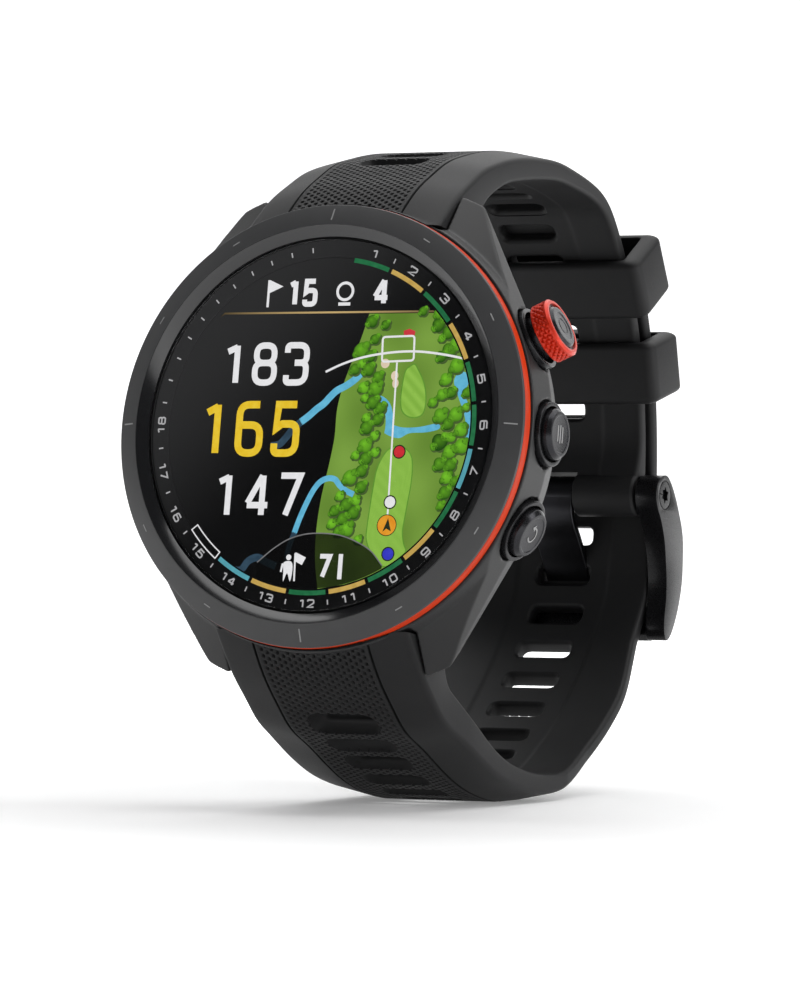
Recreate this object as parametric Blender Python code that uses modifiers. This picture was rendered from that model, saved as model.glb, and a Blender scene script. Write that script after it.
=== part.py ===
"""A round golf GPS wristwatch, standing on its closed strap.

Every size is written in millimetres and turned into Blender's metres by MM. The watch is modelled in
its dial frame: +X to 3 o'clock, +Y to 12 o'clock, +Z out of the dial, with the origin in the middle of
the bezel's conical face. A depth is measured from there back into the watch, so it is -Z. One empty
leans the whole dial frame back until the watch stands on the bottom of its strap.
"""

import math

import bmesh
import bpy
import numpy as np
from mathutils import Matrix, Vector

MM = 0.001

# How the watch stands
LEAN = math.radians(9.3)
DIAL_OFFSET = -0.868
DIAL_SETBACK = -31.505
DIAL_HEIGHT = 40.6

# Case
CASE_RADIUS = 23.75
CAVITY_RADIUS = 20.3
LEDGE_RADIUS = 17.8
LUG_INNER_X = 11.4
LUG_TIP = (14.1, 24.4)
LUG_INNER_TIP_HEIGHT = 25.5
CASE_BACK_DEPTH = 11.6
CASE_CHAMFER = 1.2

# Buttons
BUTTON_DEPTH = 6.4
BUTTON_ANGLES = {"start": 25.0, "middle": 0.0, "lower": -25.0}
BUTTON_TRAVEL = 0.6
STEM_RADIUS = 0.8
STEM_HOLE_RADIUS = 1.6
COUNTERBORE_RADIUS = 3.65
COUNTERBORE_FLOOR = 22.55

# Strap
STRAP_HALF_AT_LUG = 11.1
STRAP_HALF_AT_BUCKLE = 10.35
STRAP_THICKNESS = 2.35
LAYER_GAP = 0.35
BAR_DEPTH = 9.4
BAR_HEIGHT = 23.6
BAR_RADIUS = 0.75
BAR_BORE_RADIUS = 0.95
BAR_TIP_RADIUS = 0.5
BARREL_RADIUS = 2.1
SLOT_PITCH = 4.49
SLOT_HALF_LENGTH = 3.3
SLOT_HALF_HEIGHT = 1.25
TANG_HOLE = (65.6, -5.9)

# The two strap layers and their keepers share one round stretch behind the wrist
ARC_CENTRE = (24.5, 2.6)
ARC_RADIUS = 36.3
KEEPER_LENGTH = 7.0
KEEPER_WALL = 1.2
KEEPER_INNER_X = 10.9
KEEPER_OUTER_X = 12.95
KEEPER_ANGLES = {"keeper_upper": 38.25, "keeper_lower": 22.1}

# Buckle
PIN_DEPTH = 61.2
PIN_HEIGHT = 2.7
PIN_RADIUS = 0.8
ROLL_RADIUS = 2.5
ARM_INNER_X = 10.75
ARM_OUTER_X = 13.2
BOSS_OUTER_X = 13.45
BOSS_RADIUS = 2.4

ROUND_STEPS = 64
INNER_STEPS = 40
SMALL_STEPS = 24

COLOURS = {
    "ceramic": ((0.035, 0.035, 0.038), 0.30, 0.1),
    "case_polymer": ((0.045, 0.045, 0.048), 0.45, 0.0),
    "orange_anodised": ((0.85, 0.16, 0.04), 0.35, 0.6),
    "glass": ((0.02, 0.02, 0.02), 0.05, 0.0),
    "screen": ((0.10, 0.22, 0.07), 0.20, 0.0),
    "black_print": ((0.01, 0.01, 0.01), 0.60, 0.0),
    "silicone": ((0.022, 0.022, 0.024), 0.60, 0.0),
    "dark_steel": ((0.12, 0.12, 0.13), 0.30, 1.0),
    "bright_steel": ((0.55, 0.55, 0.56), 0.25, 1.0),
    "buckle_black": ((0.05, 0.05, 0.055), 0.35, 0.9),
    "circuit_green": ((0.02, 0.15, 0.06), 0.50, 0.0),
    "battery_silver": ((0.45, 0.45, 0.45), 0.40, 0.5),
    "copper": ((0.72, 0.35, 0.18), 0.35, 1.0),
    "gold": ((0.90, 0.65, 0.25), 0.25, 1.0),
    "seal_rubber": ((0.03, 0.03, 0.03), 0.80, 0.0),
    "frame_polymer": ((0.10, 0.10, 0.11), 0.55, 0.0),
}


def clear_scene():
    for obj in list(bpy.data.objects):
        bpy.data.objects.remove(obj, do_unlink=True)


def make_collection(name):
    collection = bpy.data.collections.new(name)
    bpy.context.scene.collection.children.link(collection)
    return collection


def make_material(name):
    colour, roughness, metallic = COLOURS[name]
    material = bpy.data.materials.get(name) or bpy.data.materials.new(name)
    material.use_nodes = True
    shader = material.node_tree.nodes["Principled BSDF"]
    shader.inputs["Base Color"].default_value = (*colour, 1.0)
    shader.inputs["Roughness"].default_value = roughness
    shader.inputs["Metallic"].default_value = metallic
    return material


def make_empty(name, parent, location=(0, 0, 0), rotation=(0, 0, 0)):
    empty = bpy.data.objects.new(name, None)
    parts.objects.link(empty)
    empty.parent = parent
    empty.location = Vector(location) * MM
    empty.rotation_euler = rotation
    return empty


def make_object(name, mesh, parent, material=None, collection=None):
    obj = bpy.data.objects.new(name, mesh)
    (collection or parts).objects.link(obj)
    obj.parent = parent
    if material:
        mesh.materials.append(make_material(material))
    return obj


def mesh_from_bmesh(name, bm):
    bmesh.ops.recalc_face_normals(bm, faces=bm.faces)
    mesh = bpy.data.meshes.new(name)
    bm.to_mesh(mesh)
    bm.free()
    return mesh


def turned(name, profile, parent, material=None, steps=ROUND_STEPS, closed=True):
    """A profile of (radius, height) points, front to back down its outer side, turned about local Z.

    A closed profile makes a ring. An open one starts and ends on the axis, and makes a solid disc.
    """
    mesh = bpy.data.meshes.new(name)
    points = [(radius * MM, 0, height * MM) for radius, height in profile]
    edges = [(i, i + 1) for i in range(len(points) - 1)]
    if closed:
        edges.append((len(points) - 1, 0))
    mesh.from_pydata(points, edges, [])
    obj = make_object(name, mesh, parent, material)
    screw = obj.modifiers.new("turn", "SCREW")
    screw.axis = "Z"
    screw.steps = steps
    screw.render_steps = steps
    screw.use_merge_vertices = True
    screw.merge_threshold = 0.00001
    screw.use_smooth_shade = False
    return obj


def ring(name, inner, outer, front_depth, back_depth, parent, material):
    """A square-cornered ring between two depths of the dial frame."""
    profile = [(inner, -front_depth), (outer, -front_depth), (outer, -back_depth), (inner, -back_depth)]
    return turned(name, profile, parent, material, INNER_STEPS)


def disc(name, radius, front_depth, back_depth, parent, material, edge=0.0, steps=ROUND_STEPS):
    """A solid disc between two depths of the dial frame, with its front edge eased by edge."""
    profile = [(0, -front_depth), (radius - edge, -front_depth), (radius, -front_depth - edge)]
    if not edge:
        profile.pop(1)
    profile += [(radius, -back_depth), (0, -back_depth)]
    return turned(name, profile, parent, material, steps, closed=False)


def box(name, size, parent, material=None, location=(0, 0, 0), rotation=(0, 0, 0), bevel=0.0, collection=None):
    bm = bmesh.new()
    bmesh.ops.create_cube(bm, size=1.0)
    bmesh.ops.scale(bm, vec=Vector(size) * MM, verts=bm.verts)
    obj = make_object(name, mesh_from_bmesh(name, bm), parent, material, collection)
    obj.location = Vector(location) * MM
    obj.rotation_euler = rotation
    if bevel:
        rounding = obj.modifiers.new("edges", "BEVEL")
        rounding.width = bevel * MM
        rounding.segments = 2
    return obj


def rod(name, radius, length, parent, material=None, location=(0, 0, 0), along="Z", steps=SMALL_STEPS, collection=None):
    """A cylinder centred on its location, along one axis of its parent."""
    bm = bmesh.new()
    bmesh.ops.create_cone(
        bm, cap_ends=True, segments=steps, radius1=radius * MM, radius2=radius * MM, depth=length * MM
    )
    if along == "X":
        bmesh.ops.rotate(bm, verts=bm.verts, matrix=Matrix.Rotation(math.pi / 2, 3, "Y"))
    obj = make_object(name, mesh_from_bmesh(name, bm), parent, material, collection)
    obj.location = Vector(location) * MM
    return obj


def as_cutter(obj):
    obj.hide_render = True
    obj.display_type = "WIRE"
    return obj


def cutter_box(name, size, parent, location=(0, 0, 0), rotation=(0, 0, 0)):
    return as_cutter(box(name, size, parent, None, location, rotation, collection=cutters))


def cutter_rod(name, radius, length, parent, location=(0, 0, 0), along="Z", steps=SMALL_STEPS):
    return as_cutter(rod(name, radius, length, parent, None, location, along, steps, collection=cutters))


def boolean(obj, other, operation="DIFFERENCE"):
    modifier = obj.modifiers.new(operation.lower(), "BOOLEAN")
    modifier.operation = operation
    modifier.object = other
    modifier.solver = "EXACT"
    return obj


def prism(name, outline, low, high, parent, material=None, plane="XY", collection=None):
    """An outline of plane points made solid between two values of the third axis.

    plane XY: (x, y) points, between two heights z. plane DH: (depth, height) points, between two x.
    """
    bm = bmesh.new()

    def corner(a, b, c):
        if plane == "XY":
            return bm.verts.new((a * MM, b * MM, c * MM))
        return bm.verts.new((c * MM, b * MM, -a * MM))

    lower = [corner(a, b, low) for a, b in outline]
    upper = [corner(a, b, high) for a, b in outline]
    bm.faces.new(lower)
    bm.faces.new(upper)
    for i in range(len(outline)):
        j = (i + 1) % len(outline)
        bm.faces.new((lower[i], lower[j], upper[j], upper[i]))
    return make_object(name, mesh_from_bmesh(name, bm), parent, material, collection)


def spline(points, step):
    """A smooth curve through (depth, height, value...) points, read at about every step."""
    points = np.array(points, float)
    knots = np.concatenate([[0], np.cumsum(np.linalg.norm(np.diff(points[:, :2], axis=0), axis=1))])
    tangents = np.gradient(points, knots, axis=0)
    read_at = np.linspace(0, knots[-1], int(knots[-1] / step) + 2)
    rows = []
    for at in read_at:
        i = min(np.searchsorted(knots, at, side="right") - 1, len(knots) - 2)
        span = knots[i + 1] - knots[i]
        t = (at - knots[i]) / span
        start, end = points[i], points[i + 1]
        rise, fall = tangents[i] * span, tangents[i + 1] * span
        rows.append(
            (2 * t**3 - 3 * t**2 + 1) * start
            + (t**3 - 2 * t**2 + t) * rise
            + (3 * t**2 - 2 * t**3) * end
            + (t**3 - t**2) * fall
        )
    return np.array(rows)


def on_arc(degrees, offset=0.0):
    """(depth, height) on the round stretch of the strap, offset outward from the inner layer's inner face."""
    angle = math.radians(degrees)
    radius = ARC_RADIUS + offset
    return (ARC_CENTRE[0] + radius * math.cos(angle), ARC_CENTRE[1] + radius * math.sin(angle))


def outward_normals(path):
    """Unit vectors in the (depth, height) plane, away from the wrist, at each point of a path."""
    along = np.gradient(path, axis=0)
    normals = np.stack([along[:, 1], -along[:, 0]], axis=1)
    normals /= np.linalg.norm(normals, axis=1)[:, None]
    middle = np.array([30.0, 0.0])
    if ((path - middle) * normals).sum() < 0:
        normals = -normals
    return normals


def ribbon(name, inner, outer, half_widths, parent, material, panel=None):
    """A band: the solid between an inner and an outer line of (depth, height) points.

    A panel line, where there is one, lies beyond the outer line, and is the crown along the band's middle.
    """
    bm = bmesh.new()
    rows = []
    for i, ((in_d, in_h), (out_d, out_h), half) in enumerate(zip(inner, outer, half_widths)):
        corners = [(-half, in_d, in_h), (half, in_d, in_h), (half, out_d, out_h), (-half, out_d, out_h)]
        if panel is not None:
            crown_d, crown_h = panel[i]
            corners[3:3] = [(PANEL_HALF, crown_d, crown_h), (-PANEL_HALF, crown_d, crown_h)]
        rows.append([bm.verts.new((x * MM, h * MM, -d * MM)) for x, d, h in corners])
    bm.faces.new(rows[0])
    bm.faces.new(rows[-1])
    sides = len(rows[0])
    for near, far in zip(rows, rows[1:]):
        for i in range(sides):
            j = (i + 1) % sides
            bm.faces.new((near[i], near[j], far[j], far[i]))
    return make_object(name, mesh_from_bmesh(name, bm), parent, material)


def slots(name, places, parent):
    """One cutter for a row of slots through a strap, each at (depth, height) and square to the strap."""
    bm = bmesh.new()
    corner = 0.8
    long, high, deep = SLOT_HALF_LENGTH, SLOT_HALF_HEIGHT, 2.6
    outline = [
        (long, high - corner), (long - corner, high), (corner - long, high), (-long, high - corner),
        (-long, corner - high), (corner - long, -high), (long - corner, -high), (long, corner - high),
    ]
    for (depth, height), (normal_d, normal_h) in places:
        rings = []
        for side in (-deep, deep):
            centre_d = depth + normal_d * side
            centre_h = height + normal_h * side
            rings.append([
                bm.verts.new((x * MM, (centre_h + normal_d * v) * MM, -(centre_d - normal_h * v) * MM))
                for x, v in outline
            ])
        bm.faces.new(rings[0])
        bm.faces.new(rings[1])
        for i in range(len(outline)):
            j = (i + 1) % len(outline)
            bm.faces.new((rings[0][i], rings[0][j], rings[1][j], rings[1][i]))
    return as_cutter(make_object(name, mesh_from_bmesh(name, bm), parent, collection=cutters))


def along_path(path, first, pitch, last):
    """((depth, height), normal) places along a path at a regular pitch, from first to last millimetre."""
    run = np.concatenate([[0], np.cumsum(np.linalg.norm(np.diff(path, axis=0), axis=1))])
    normals = outward_normals(path)
    places = []
    at = first
    while at <= last:
        point = [np.interp(at, run, path[:, k]) for k in (0, 1)]
        normal = [np.interp(at, run, normals[:, k]) for k in (0, 1)]
        size = math.hypot(*normal)
        places.append((point, (normal[0] / size, normal[1] / size)))
        at += pitch
    return places


# ---------------------------------------------------------------- watch head


def case_outline():
    """The case seen from the front: a circle, with two lugs at 12 and two at 6 o'clock."""
    tip_x, tip_y = LUG_TIP
    tip_angle = math.atan2(tip_y, tip_x)
    tangent = tip_angle - math.acos(CASE_RADIUS / math.hypot(tip_x, tip_y))
    inner_angle = math.acos(LUG_INNER_X / CASE_RADIUS)
    quarter = []
    for i in range(6):
        angle = tangent * i / 5
        quarter.append((CASE_RADIUS * math.cos(angle), CASE_RADIUS * math.sin(angle)))
    quarter += [LUG_TIP, (LUG_INNER_X, LUG_INNER_TIP_HEIGHT)]
    for i in range(6):
        angle = inner_angle + (math.pi / 2 - inner_angle) * i / 5
        quarter.append((CASE_RADIUS * math.cos(angle), CASE_RADIUS * math.sin(angle)))
    upper = quarter + [(-x, y) for x, y in reversed(quarter[:-1])]
    return upper + [(x, -y) for x, y in reversed(upper[1:-1])]


def make_case(dial):
    front, back = 0.9, CASE_BACK_DEPTH
    profile = [
        (CAVITY_RADIUS, -1.0), (22.7, -1.0), (22.7, -2.45), (23.8, -2.45), (24.15, -3.8), (28.8, -7.6),
        (28.8, -back), (LEDGE_RADIUS, -back), (LEDGE_RADIUS, -9.6), (CAVITY_RADIUS, -9.6),
    ]
    case = turned("main_case", profile, dial, "case_polymer")

    plan = prism("case_plan", case_outline(), -back + CASE_CHAMFER, front, dial, collection=cutters)
    bm = bmesh.new()
    bm.from_mesh(plan.data)
    bm.faces.ensure_lookup_table()
    rear = min(bm.faces, key=lambda face: face.calc_center_median().z)
    bmesh.ops.inset_region(bm, faces=[rear], thickness=CASE_CHAMFER * MM, depth=(CASE_CHAMFER + 0.2) * MM)
    bm.to_mesh(plan.data)
    bm.free()
    boolean(case, as_cutter(plan), "INTERSECT")

    for side, sign in (("upper", 1), ("lower", -1)):
        place = (0, sign * BAR_HEIGHT, -BAR_DEPTH)
        boolean(case, cutter_rod(f"strap_seat_{side}", 2.45, 2 * LUG_INNER_X, dial, place, "X"))
        boolean(case, cutter_rod(f"lug_hole_{side}", BAR_TIP_RADIUS + 0.3, 26.4, dial, place, "X", 12))

    for name, axis in button_axes.items():
        hole_length = COUNTERBORE_FLOOR - 19.0
        middle = 19.0 + hole_length / 2
        boolean(case, cutter_rod(f"{name}_hole", STEM_HOLE_RADIUS, hole_length + 1, axis, (0, 0, middle)))
        boolean(case, cutter_rod(f"{name}_counterbore", COUNTERBORE_RADIUS, 4, axis, (0, 0, COUNTERBORE_FLOOR + 2)))

    for number, (x, y) in enumerate(back_screw_places()):
        boolean(case, cutter_rod(f"case_screw_hole_{number}", 0.9, 3, dial, (x, y, -10.8), steps=12))
    return case


def back_screw_places():
    angles = [math.radians(45 + 90 * i) for i in range(4)]
    return [(19.05 * math.cos(a), 19.05 * math.sin(a)) for a in angles]


def make_front(dial):
    turned(
        "bezel_ring",
        [(21.08, 0.57), (23.4, -0.54), (23.45, -0.85), (19.98, -0.85), (19.98, -0.28)],
        dial,
        "ceramic",
    )
    turned(
        "accent_ring",
        [(22.95, -1.1), (23.35, -1.1), (23.5, -1.25), (23.5, -2.3), (22.95, -2.3)],
        dial,
        "orange_anodised",
    )
    disc("lens_glass", 19.75, 0.3, 0.8, dial, "glass", edge=0.2)
    ring("dial_mask", 17.95, 19.7, 0.88, 0.98, dial, "black_print")
    disc("display_panel", 17.75, 0.88, 2.0, dial, "screen", steps=INNER_STEPS)
    ring("lens_gasket", 18.6, 20.1, 1.1, 1.5, dial, "seal_rubber")


def make_inside(dial):
    ring("inner_frame", 3.0, 20.0, 2.2, 3.0, dial, "frame_polymer")
    disc("main_board", 18.8, 3.3, 4.1, dial, "circuit_green", steps=INNER_STEPS)
    ring("antenna_ring", 19.1, 20.05, 3.3, 4.5, dial, "copper")
    box("gps_module", (11, 9, 1.1), dial, "bright_steel", (-4, 5, -4.85), bevel=0.2)
    box("battery", (25, 21, 3.8), dial, "battery_silver", (0, 0, -7.6), bevel=0.6)
    rod("vibration_motor", 3.8, 2.6, dial, "bright_steel", (0, -14.6, -6.9))
    disc("sensor_board", 8.0, 10.3, 11.0, dial, "circuit_green", steps=32)


def make_back(dial):
    turned(
        "case_back",
        [(7.6, -11.85), (21.4, -11.85), (21.4, -12.45), (20.6, -12.95), (7.6, -13.1)],
        dial,
        "frame_polymer",
    )
    back = bpy.data.objects["case_back"]
    for number, (x, y) in enumerate(back_screw_places()):
        boolean(back, cutter_rod(f"back_hole_{number}", 0.9, 4, dial, (x, y, -12), steps=12))
        boolean(back, cutter_rod(f"back_recess_{number}", 1.7, 2, dial, (x, y, -13.45), steps=16))
        screw = [(0, -9.9), (0.6, -9.9), (0.6, -12.5), (1.4, -12.5), (1.4, -12.95), (0, -12.95)]
        piece = turned(f"back_screw_{number + 1}", screw, dial, "bright_steel", 16, closed=False)
        piece.location = (x * MM, y * MM, 0)
    ring("back_seal", 20.2, 21.0, 11.64, 11.81, dial, "seal_rubber")
    turned(
        "sensor_window",
        [(0, -12.0), (7.3, -12.0), (7.3, -13.1), (5.0, -13.5), (0, -13.63)],
        dial,
        "glass",
        INNER_STEPS,
        closed=False,
    )
    port_height = 13.2
    boolean(back, cutter_box("port_hole", (9.6, 4.6, 4), dial, (0, port_height, -12.4)))
    box("charge_port", (9.0, 4.0, 0.8), dial, "frame_polymer", (0, port_height, -12.3), bevel=0.2)
    for i in range(4):
        x = (i - 1.5) * 2.0
        box(f"charge_contact_{i + 1}", (0.9, 1.8, 0.25), dial, "gold", (x, port_height, -12.88))


def make_button(name, axis):
    """The pieces of one button, turned about the radial axis that it slides along."""
    dial = axis.parent
    turned(
        f"{name}_collar",
        [(2.95, 24.05), (3.35, 24.05), (3.35, 22.7), (2.95, 22.7)],
        axis,
        "dark_steel",
        SMALL_STEPS,
    )
    stem = [(2.65, 23.35), (STEM_RADIUS, 23.35), (STEM_RADIUS, 19.6), (0, 19.6)]
    crown = [(0, 25.0), (2.25, 25.0), (2.65, 24.65)]
    if name == "start":
        stem[0] = (2.35, 23.35)
        crown = [(0, 27.0), (2.05, 27.0), (2.35, 26.75)]
        knurl = [(2.65, 26.8), (2.95, 26.8), (3.2, 26.55), (3.2, 24.85), (2.65, 24.85)]
        turned("start_grip_ring", knurl, axis, "orange_anodised", SMALL_STEPS)
    turned(f"{name}_button", crown + stem, axis, "dark_steel", SMALL_STEPS, closed=False)
    seal = [(1.2 + 0.3 * math.cos(a), 21.4 - 0.3 * math.sin(a)) for a in np.arange(6) * math.pi / 3]
    turned(f"{name}_seal", seal, axis, "seal_rubber", 16)
    turned(
        f"{name}_clip",
        [(0.95, 20.15), (1.6, 20.15), (1.6, 19.95), (0.95, 19.95)],
        axis,
        "bright_steel",
        16,
    )
    switch = box(f"{name}_switch", (3.0, 3.0, 0.9), axis, "frame_polymer", (0, 0, 18.45))
    return dial, switch


# ---------------------------------------------------------------- strap


# Each line holds (depth, height) on the face against the wrist, then how thick the strap's edge is there,
# then how much further out the raised panel along its middle stands. Heights count away from the dial's middle.
LOWER_LINE = [
    (15.3, 26.4, 3.9, 1.0), (18.8, 28.0, 3.25, 0.9), (22.4, 29.6, 2.85, 0.9), (27.0, 31.2, 2.4, 1.0),
    (32.0, 31.9, 2.2, 1.1), (37.2, 31.9, 2.1, 1.1), (43.0, 31.0, 1.9, 0.9), (48.4, 28.2, 1.75, 0.6),
    (52.7, 25.1, 1.7, 0.6), (56.0, 21.8, 1.7, 0.6), (58.9, 18.4, 1.7, 0.6), (61.7, 14.6, 1.7, 0.6),
    (63.6, 10.2, 1.7, 0.6), (64.3, 5.6, 1.7, 0.6), (64.25, 1.2, 1.7, 0.6), (63.85, -3.4, 1.7, 0.6),
    (62.95, -9.2, 1.7, 0.6),
]
UPPER_LINE = [
    (15.2, 27.3, 3.1, 1.0), (19.0, 29.4, 2.5, 0.9), (23.4, 30.7, 2.5, 0.9), (28.4, 31.9, 2.3, 0.9),
    (33.0, 32.7, 2.15, 0.8), (37.4, 32.8, 2.0, 0.7), (41.8, 32.7, 1.85, 0.6), (45.5, 32.0, 1.75, 0.6),
]
EDGE = 1.7
CROWN = STRAP_THICKNESS - EDGE
PANEL_HALF = 6.6
# Sections across the strap's thick end between the lugs, at its inner face and its outer edge
HEAD_INNER = [(8.6, 21.3), (9.6, 21.4), (11.4, 22.6), (12.6, 24.8)]
HEAD_OUTER = [(3.4, 21.6), (5.2, 24.2), (7.2, 25.9), (9.5, 27.4)]
HEAD_CROWN = 1.1
TIP_ANGLE = 38.5
# where each half narrows, in mm along it from the case: the long half stays wide until the buckle's arms
TAPER_UPPER = (0.0, 62.0)
TAPER_LOWER = (53.0, 62.5)
# how much wider the long half's sides are once clear of the lugs
LOWER_SWELL = 0.5
# the long half's slots: (number, mm along it), 4.5 mm apart near the case and 4.9 mm apart toward its tip
SLOT_ROW = [(0, 5.4), (4, 23.5), (9, 47.4), (12, 62.6), (15, 77.5), (21, 106.8)]
LAYER_END_ANGLE = 8.0


def strap_lines(line, sign):
    """The inner, outer and panel lines of one strap half, and its half width at each of their points."""
    rows = spline([(depth, sign * height, edge, crown) for depth, height, edge, crown in line], 2.6)
    inner = rows[:, :2]
    normals = outward_normals(inner)
    outer = inner + normals * rows[:, 2:3]
    head_inner = np.array([(depth, sign * height) for depth, height in HEAD_INNER])
    head_outer = np.array([(depth, sign * height) for depth, height in HEAD_OUTER])
    directions = head_outer - head_inner
    directions /= np.linalg.norm(directions, axis=1)[:, None]
    panel = np.vstack([head_outer + directions * HEAD_CROWN, outer + normals * rows[:, 3:4]])
    inner = np.vstack([head_inner, inner])
    outer = np.vstack([head_outer, outer])
    run = np.concatenate([[0], np.cumsum(np.linalg.norm(np.diff(inner, axis=0), axis=1))])
    start, end = TAPER_UPPER if sign > 0 else TAPER_LOWER
    share = np.clip((run - start) / (end - start), 0, 1)
    half = STRAP_HALF_AT_LUG + (STRAP_HALF_AT_BUCKLE - STRAP_HALF_AT_LUG) * share
    if sign < 0:
        half = half + LOWER_SWELL * np.clip(np.minimum((run - 6.0) / 8.0, (60.0 - run) / 9.0), 0, 1)
    return inner, outer, panel, half


def cut_strap_head(strap, side, sign, dial):
    """The end at the case: a clear gap to the case's wall, and a barrel that the spring bar runs through."""
    place = (0, sign * BAR_HEIGHT, -BAR_DEPTH)
    boolean(strap, cutter_rod(f"case_wall_{side}", CASE_RADIUS + 0.3, 21, dial, (0, 0, -5.5), steps=ROUND_STEPS))
    barrel = cutter_rod(f"barrel_{side}", BARREL_RADIUS, 2 * STRAP_HALF_AT_LUG, dial, place, "X")
    boolean(strap, barrel, "UNION")
    boolean(strap, cutter_rod(f"bar_bore_{side}", BAR_BORE_RADIUS, 30, dial, place, "X", 16))
    window = (6.25, sign * BAR_HEIGHT, -BAR_DEPTH - 2.5)
    boolean(strap, cutter_box(f"lever_window_{side}", (4.0, 1.6, 5.0), dial, window))


def make_lower_strap(dial):
    """The long half, from 6 o'clock, round the outside of the buckle and through both keepers."""
    offset = STRAP_THICKNESS + LAYER_GAP
    arc = [on_arc(degrees, offset) for degrees in np.arange(14.0, TIP_ANGLE + 0.1, 3.5)]
    line = LOWER_LINE + [(depth, -height, EDGE, CROWN) for depth, height in arc]
    inner, outer, panel, half = strap_lines(line, -1)
    strap = ribbon("strap_lower", inner, outer, half, dial, "silicone", panel)
    cut_strap_head(strap, "lower", -1, dial)

    middle = (inner + panel)[2:] / 2
    run = np.linalg.norm(np.diff(middle, axis=0), axis=1).sum()
    numbers, stations = zip(*SLOT_ROW)
    runs = [at for at in np.interp(np.arange(22), numbers, stations) if at < run - 3.0]
    places = [place for at in runs for place in along_path(middle, at, SLOT_PITCH, at)]
    places = [place for place in places if math.dist(place[0], TANG_HOLE) > 2.0]
    boolean(strap, slots("lower_slots", places, dial))
    boolean(strap, tang_slot(dial))

    floor = cutter_box("floor_cut", (60, 60, 20), None, (0, 0, -10))
    boolean(strap, floor)
    return strap


def nearest_run(path, point):
    """How far along a path its nearest point to a given point is."""
    run = np.concatenate([[0], np.cumsum(np.linalg.norm(np.diff(path, axis=0), axis=1))])
    fine = np.linspace(0, run[-1], 2000)
    places = np.stack([np.interp(fine, run, path[:, k]) for k in (0, 1)], axis=1)
    return fine[np.argmin(np.linalg.norm(places - np.array(point), axis=1))]


def make_upper_strap(dial):
    """The short half, from 12 o'clock, which ends in a roll round the buckle's pin."""
    arc = [on_arc(degrees) for degrees in np.arange(48.0, LAYER_END_ANGLE - 0.1, -4.0)]
    line = UPPER_LINE + [(depth, height, EDGE, CROWN) for depth, height in arc]
    inner, outer, panel, half = strap_lines(line, 1)
    end = [((60.0, 5.6), (62.4, 6.0)), ((59.4, 3.9), (62.6, 4.2)), ((59.3, 2.7), (62.7, 2.7))]
    inner = np.vstack([inner, [pair[0] for pair in end]])
    outer = np.vstack([outer, [pair[1] for pair in end]])
    panel = np.vstack([panel, [(depth + 0.4, height) for _, (depth, height) in end]])
    half = np.append(half, [STRAP_HALF_AT_BUCKLE] * len(end))
    strap = ribbon("strap_upper", inner, outer, half, dial, "silicone", panel)
    cut_strap_head(strap, "upper", 1, dial)

    middle = (inner + panel)[len(HEAD_INNER):] / 2
    last = nearest_run(middle, on_arc(15.3, STRAP_THICKNESS / 2))
    boolean(strap, slots("upper_slots", along_path(middle, last % SLOT_PITCH, SLOT_PITCH, last + 0.1), dial))

    pin = (0, PIN_HEIGHT, -PIN_DEPTH)
    roll = rod("strap_roll", ROLL_RADIUS, 2 * STRAP_HALF_AT_BUCKLE, dial, None, pin, "X", collection=cutters)
    boolean(strap, as_cutter(roll), "UNION")
    boolean(strap, cutter_rod("pin_bore", PIN_RADIUS + 0.3, 30, dial, pin, "X", 16))
    boolean(strap, cutter_box("tang_notch", (6.4, 5.4, 6.0), dial, (0, PIN_HEIGHT - 0.3, -PIN_DEPTH)))
    return strap


def make_keeper(name, degrees, dial):
    """A closed loop round both strap layers, with its origin on the axis that it travels about."""
    axis = make_empty(f"{name}_axis", dial, (0, ARC_CENTRE[1], -ARC_CENTRE[0]), (math.radians(180 + degrees), 0, 0))
    stack = 2 * STRAP_THICKNESS + LAYER_GAP
    clear = 0.3
    middle = ARC_RADIUS + stack / 2
    inside = (2 * KEEPER_INNER_X, KEEPER_LENGTH + 2, stack + 2 * clear)
    outside = (2 * KEEPER_OUTER_X, KEEPER_LENGTH, inside[2] + 2 * KEEPER_WALL)
    loop = box(name, outside, axis, "silicone", (0, 0, middle), bevel=0.7)
    return boolean(loop, cutter_box(f"{name}_hollow", inside, axis, (0, 0, middle)))


# ---------------------------------------------------------------- spring bars and buckle


def make_spring_bar(side, sign, dial):
    """A quick-release bar: a fixed half, and a plunger that its lever draws back out of the lug."""
    place = (0, sign * BAR_HEIGHT, -BAR_DEPTH)
    holder = make_empty(f"{side}_bar_axis", dial, place, (0, math.pi / 2, 0))
    fixed = [
        (0, 3.4), (BAR_RADIUS, 3.4), (BAR_RADIUS, -10.9), (BAR_TIP_RADIUS, -10.9), (BAR_TIP_RADIUS, -12.7), (0, -12.7),
    ]
    turned(f"spring_bar_{side}", fixed, holder, "bright_steel", 16, closed=False)
    moving = [
        (0, 12.7), (BAR_TIP_RADIUS, 12.7), (BAR_TIP_RADIUS, 10.9), (BAR_RADIUS, 10.9), (BAR_RADIUS, 5.6), (0, 5.6),
    ]
    plunger = turned(f"release_lever_{side}", moving, holder, "bright_steel", 16, closed=False)
    knob = rod(f"lever_knob_{side}", 0.5, 3.2, dial, None, (7.2, sign * BAR_HEIGHT, -BAR_DEPTH - 1.6), collection=cutters)
    return boolean(plunger, as_cutter(knob), "UNION")


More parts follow.
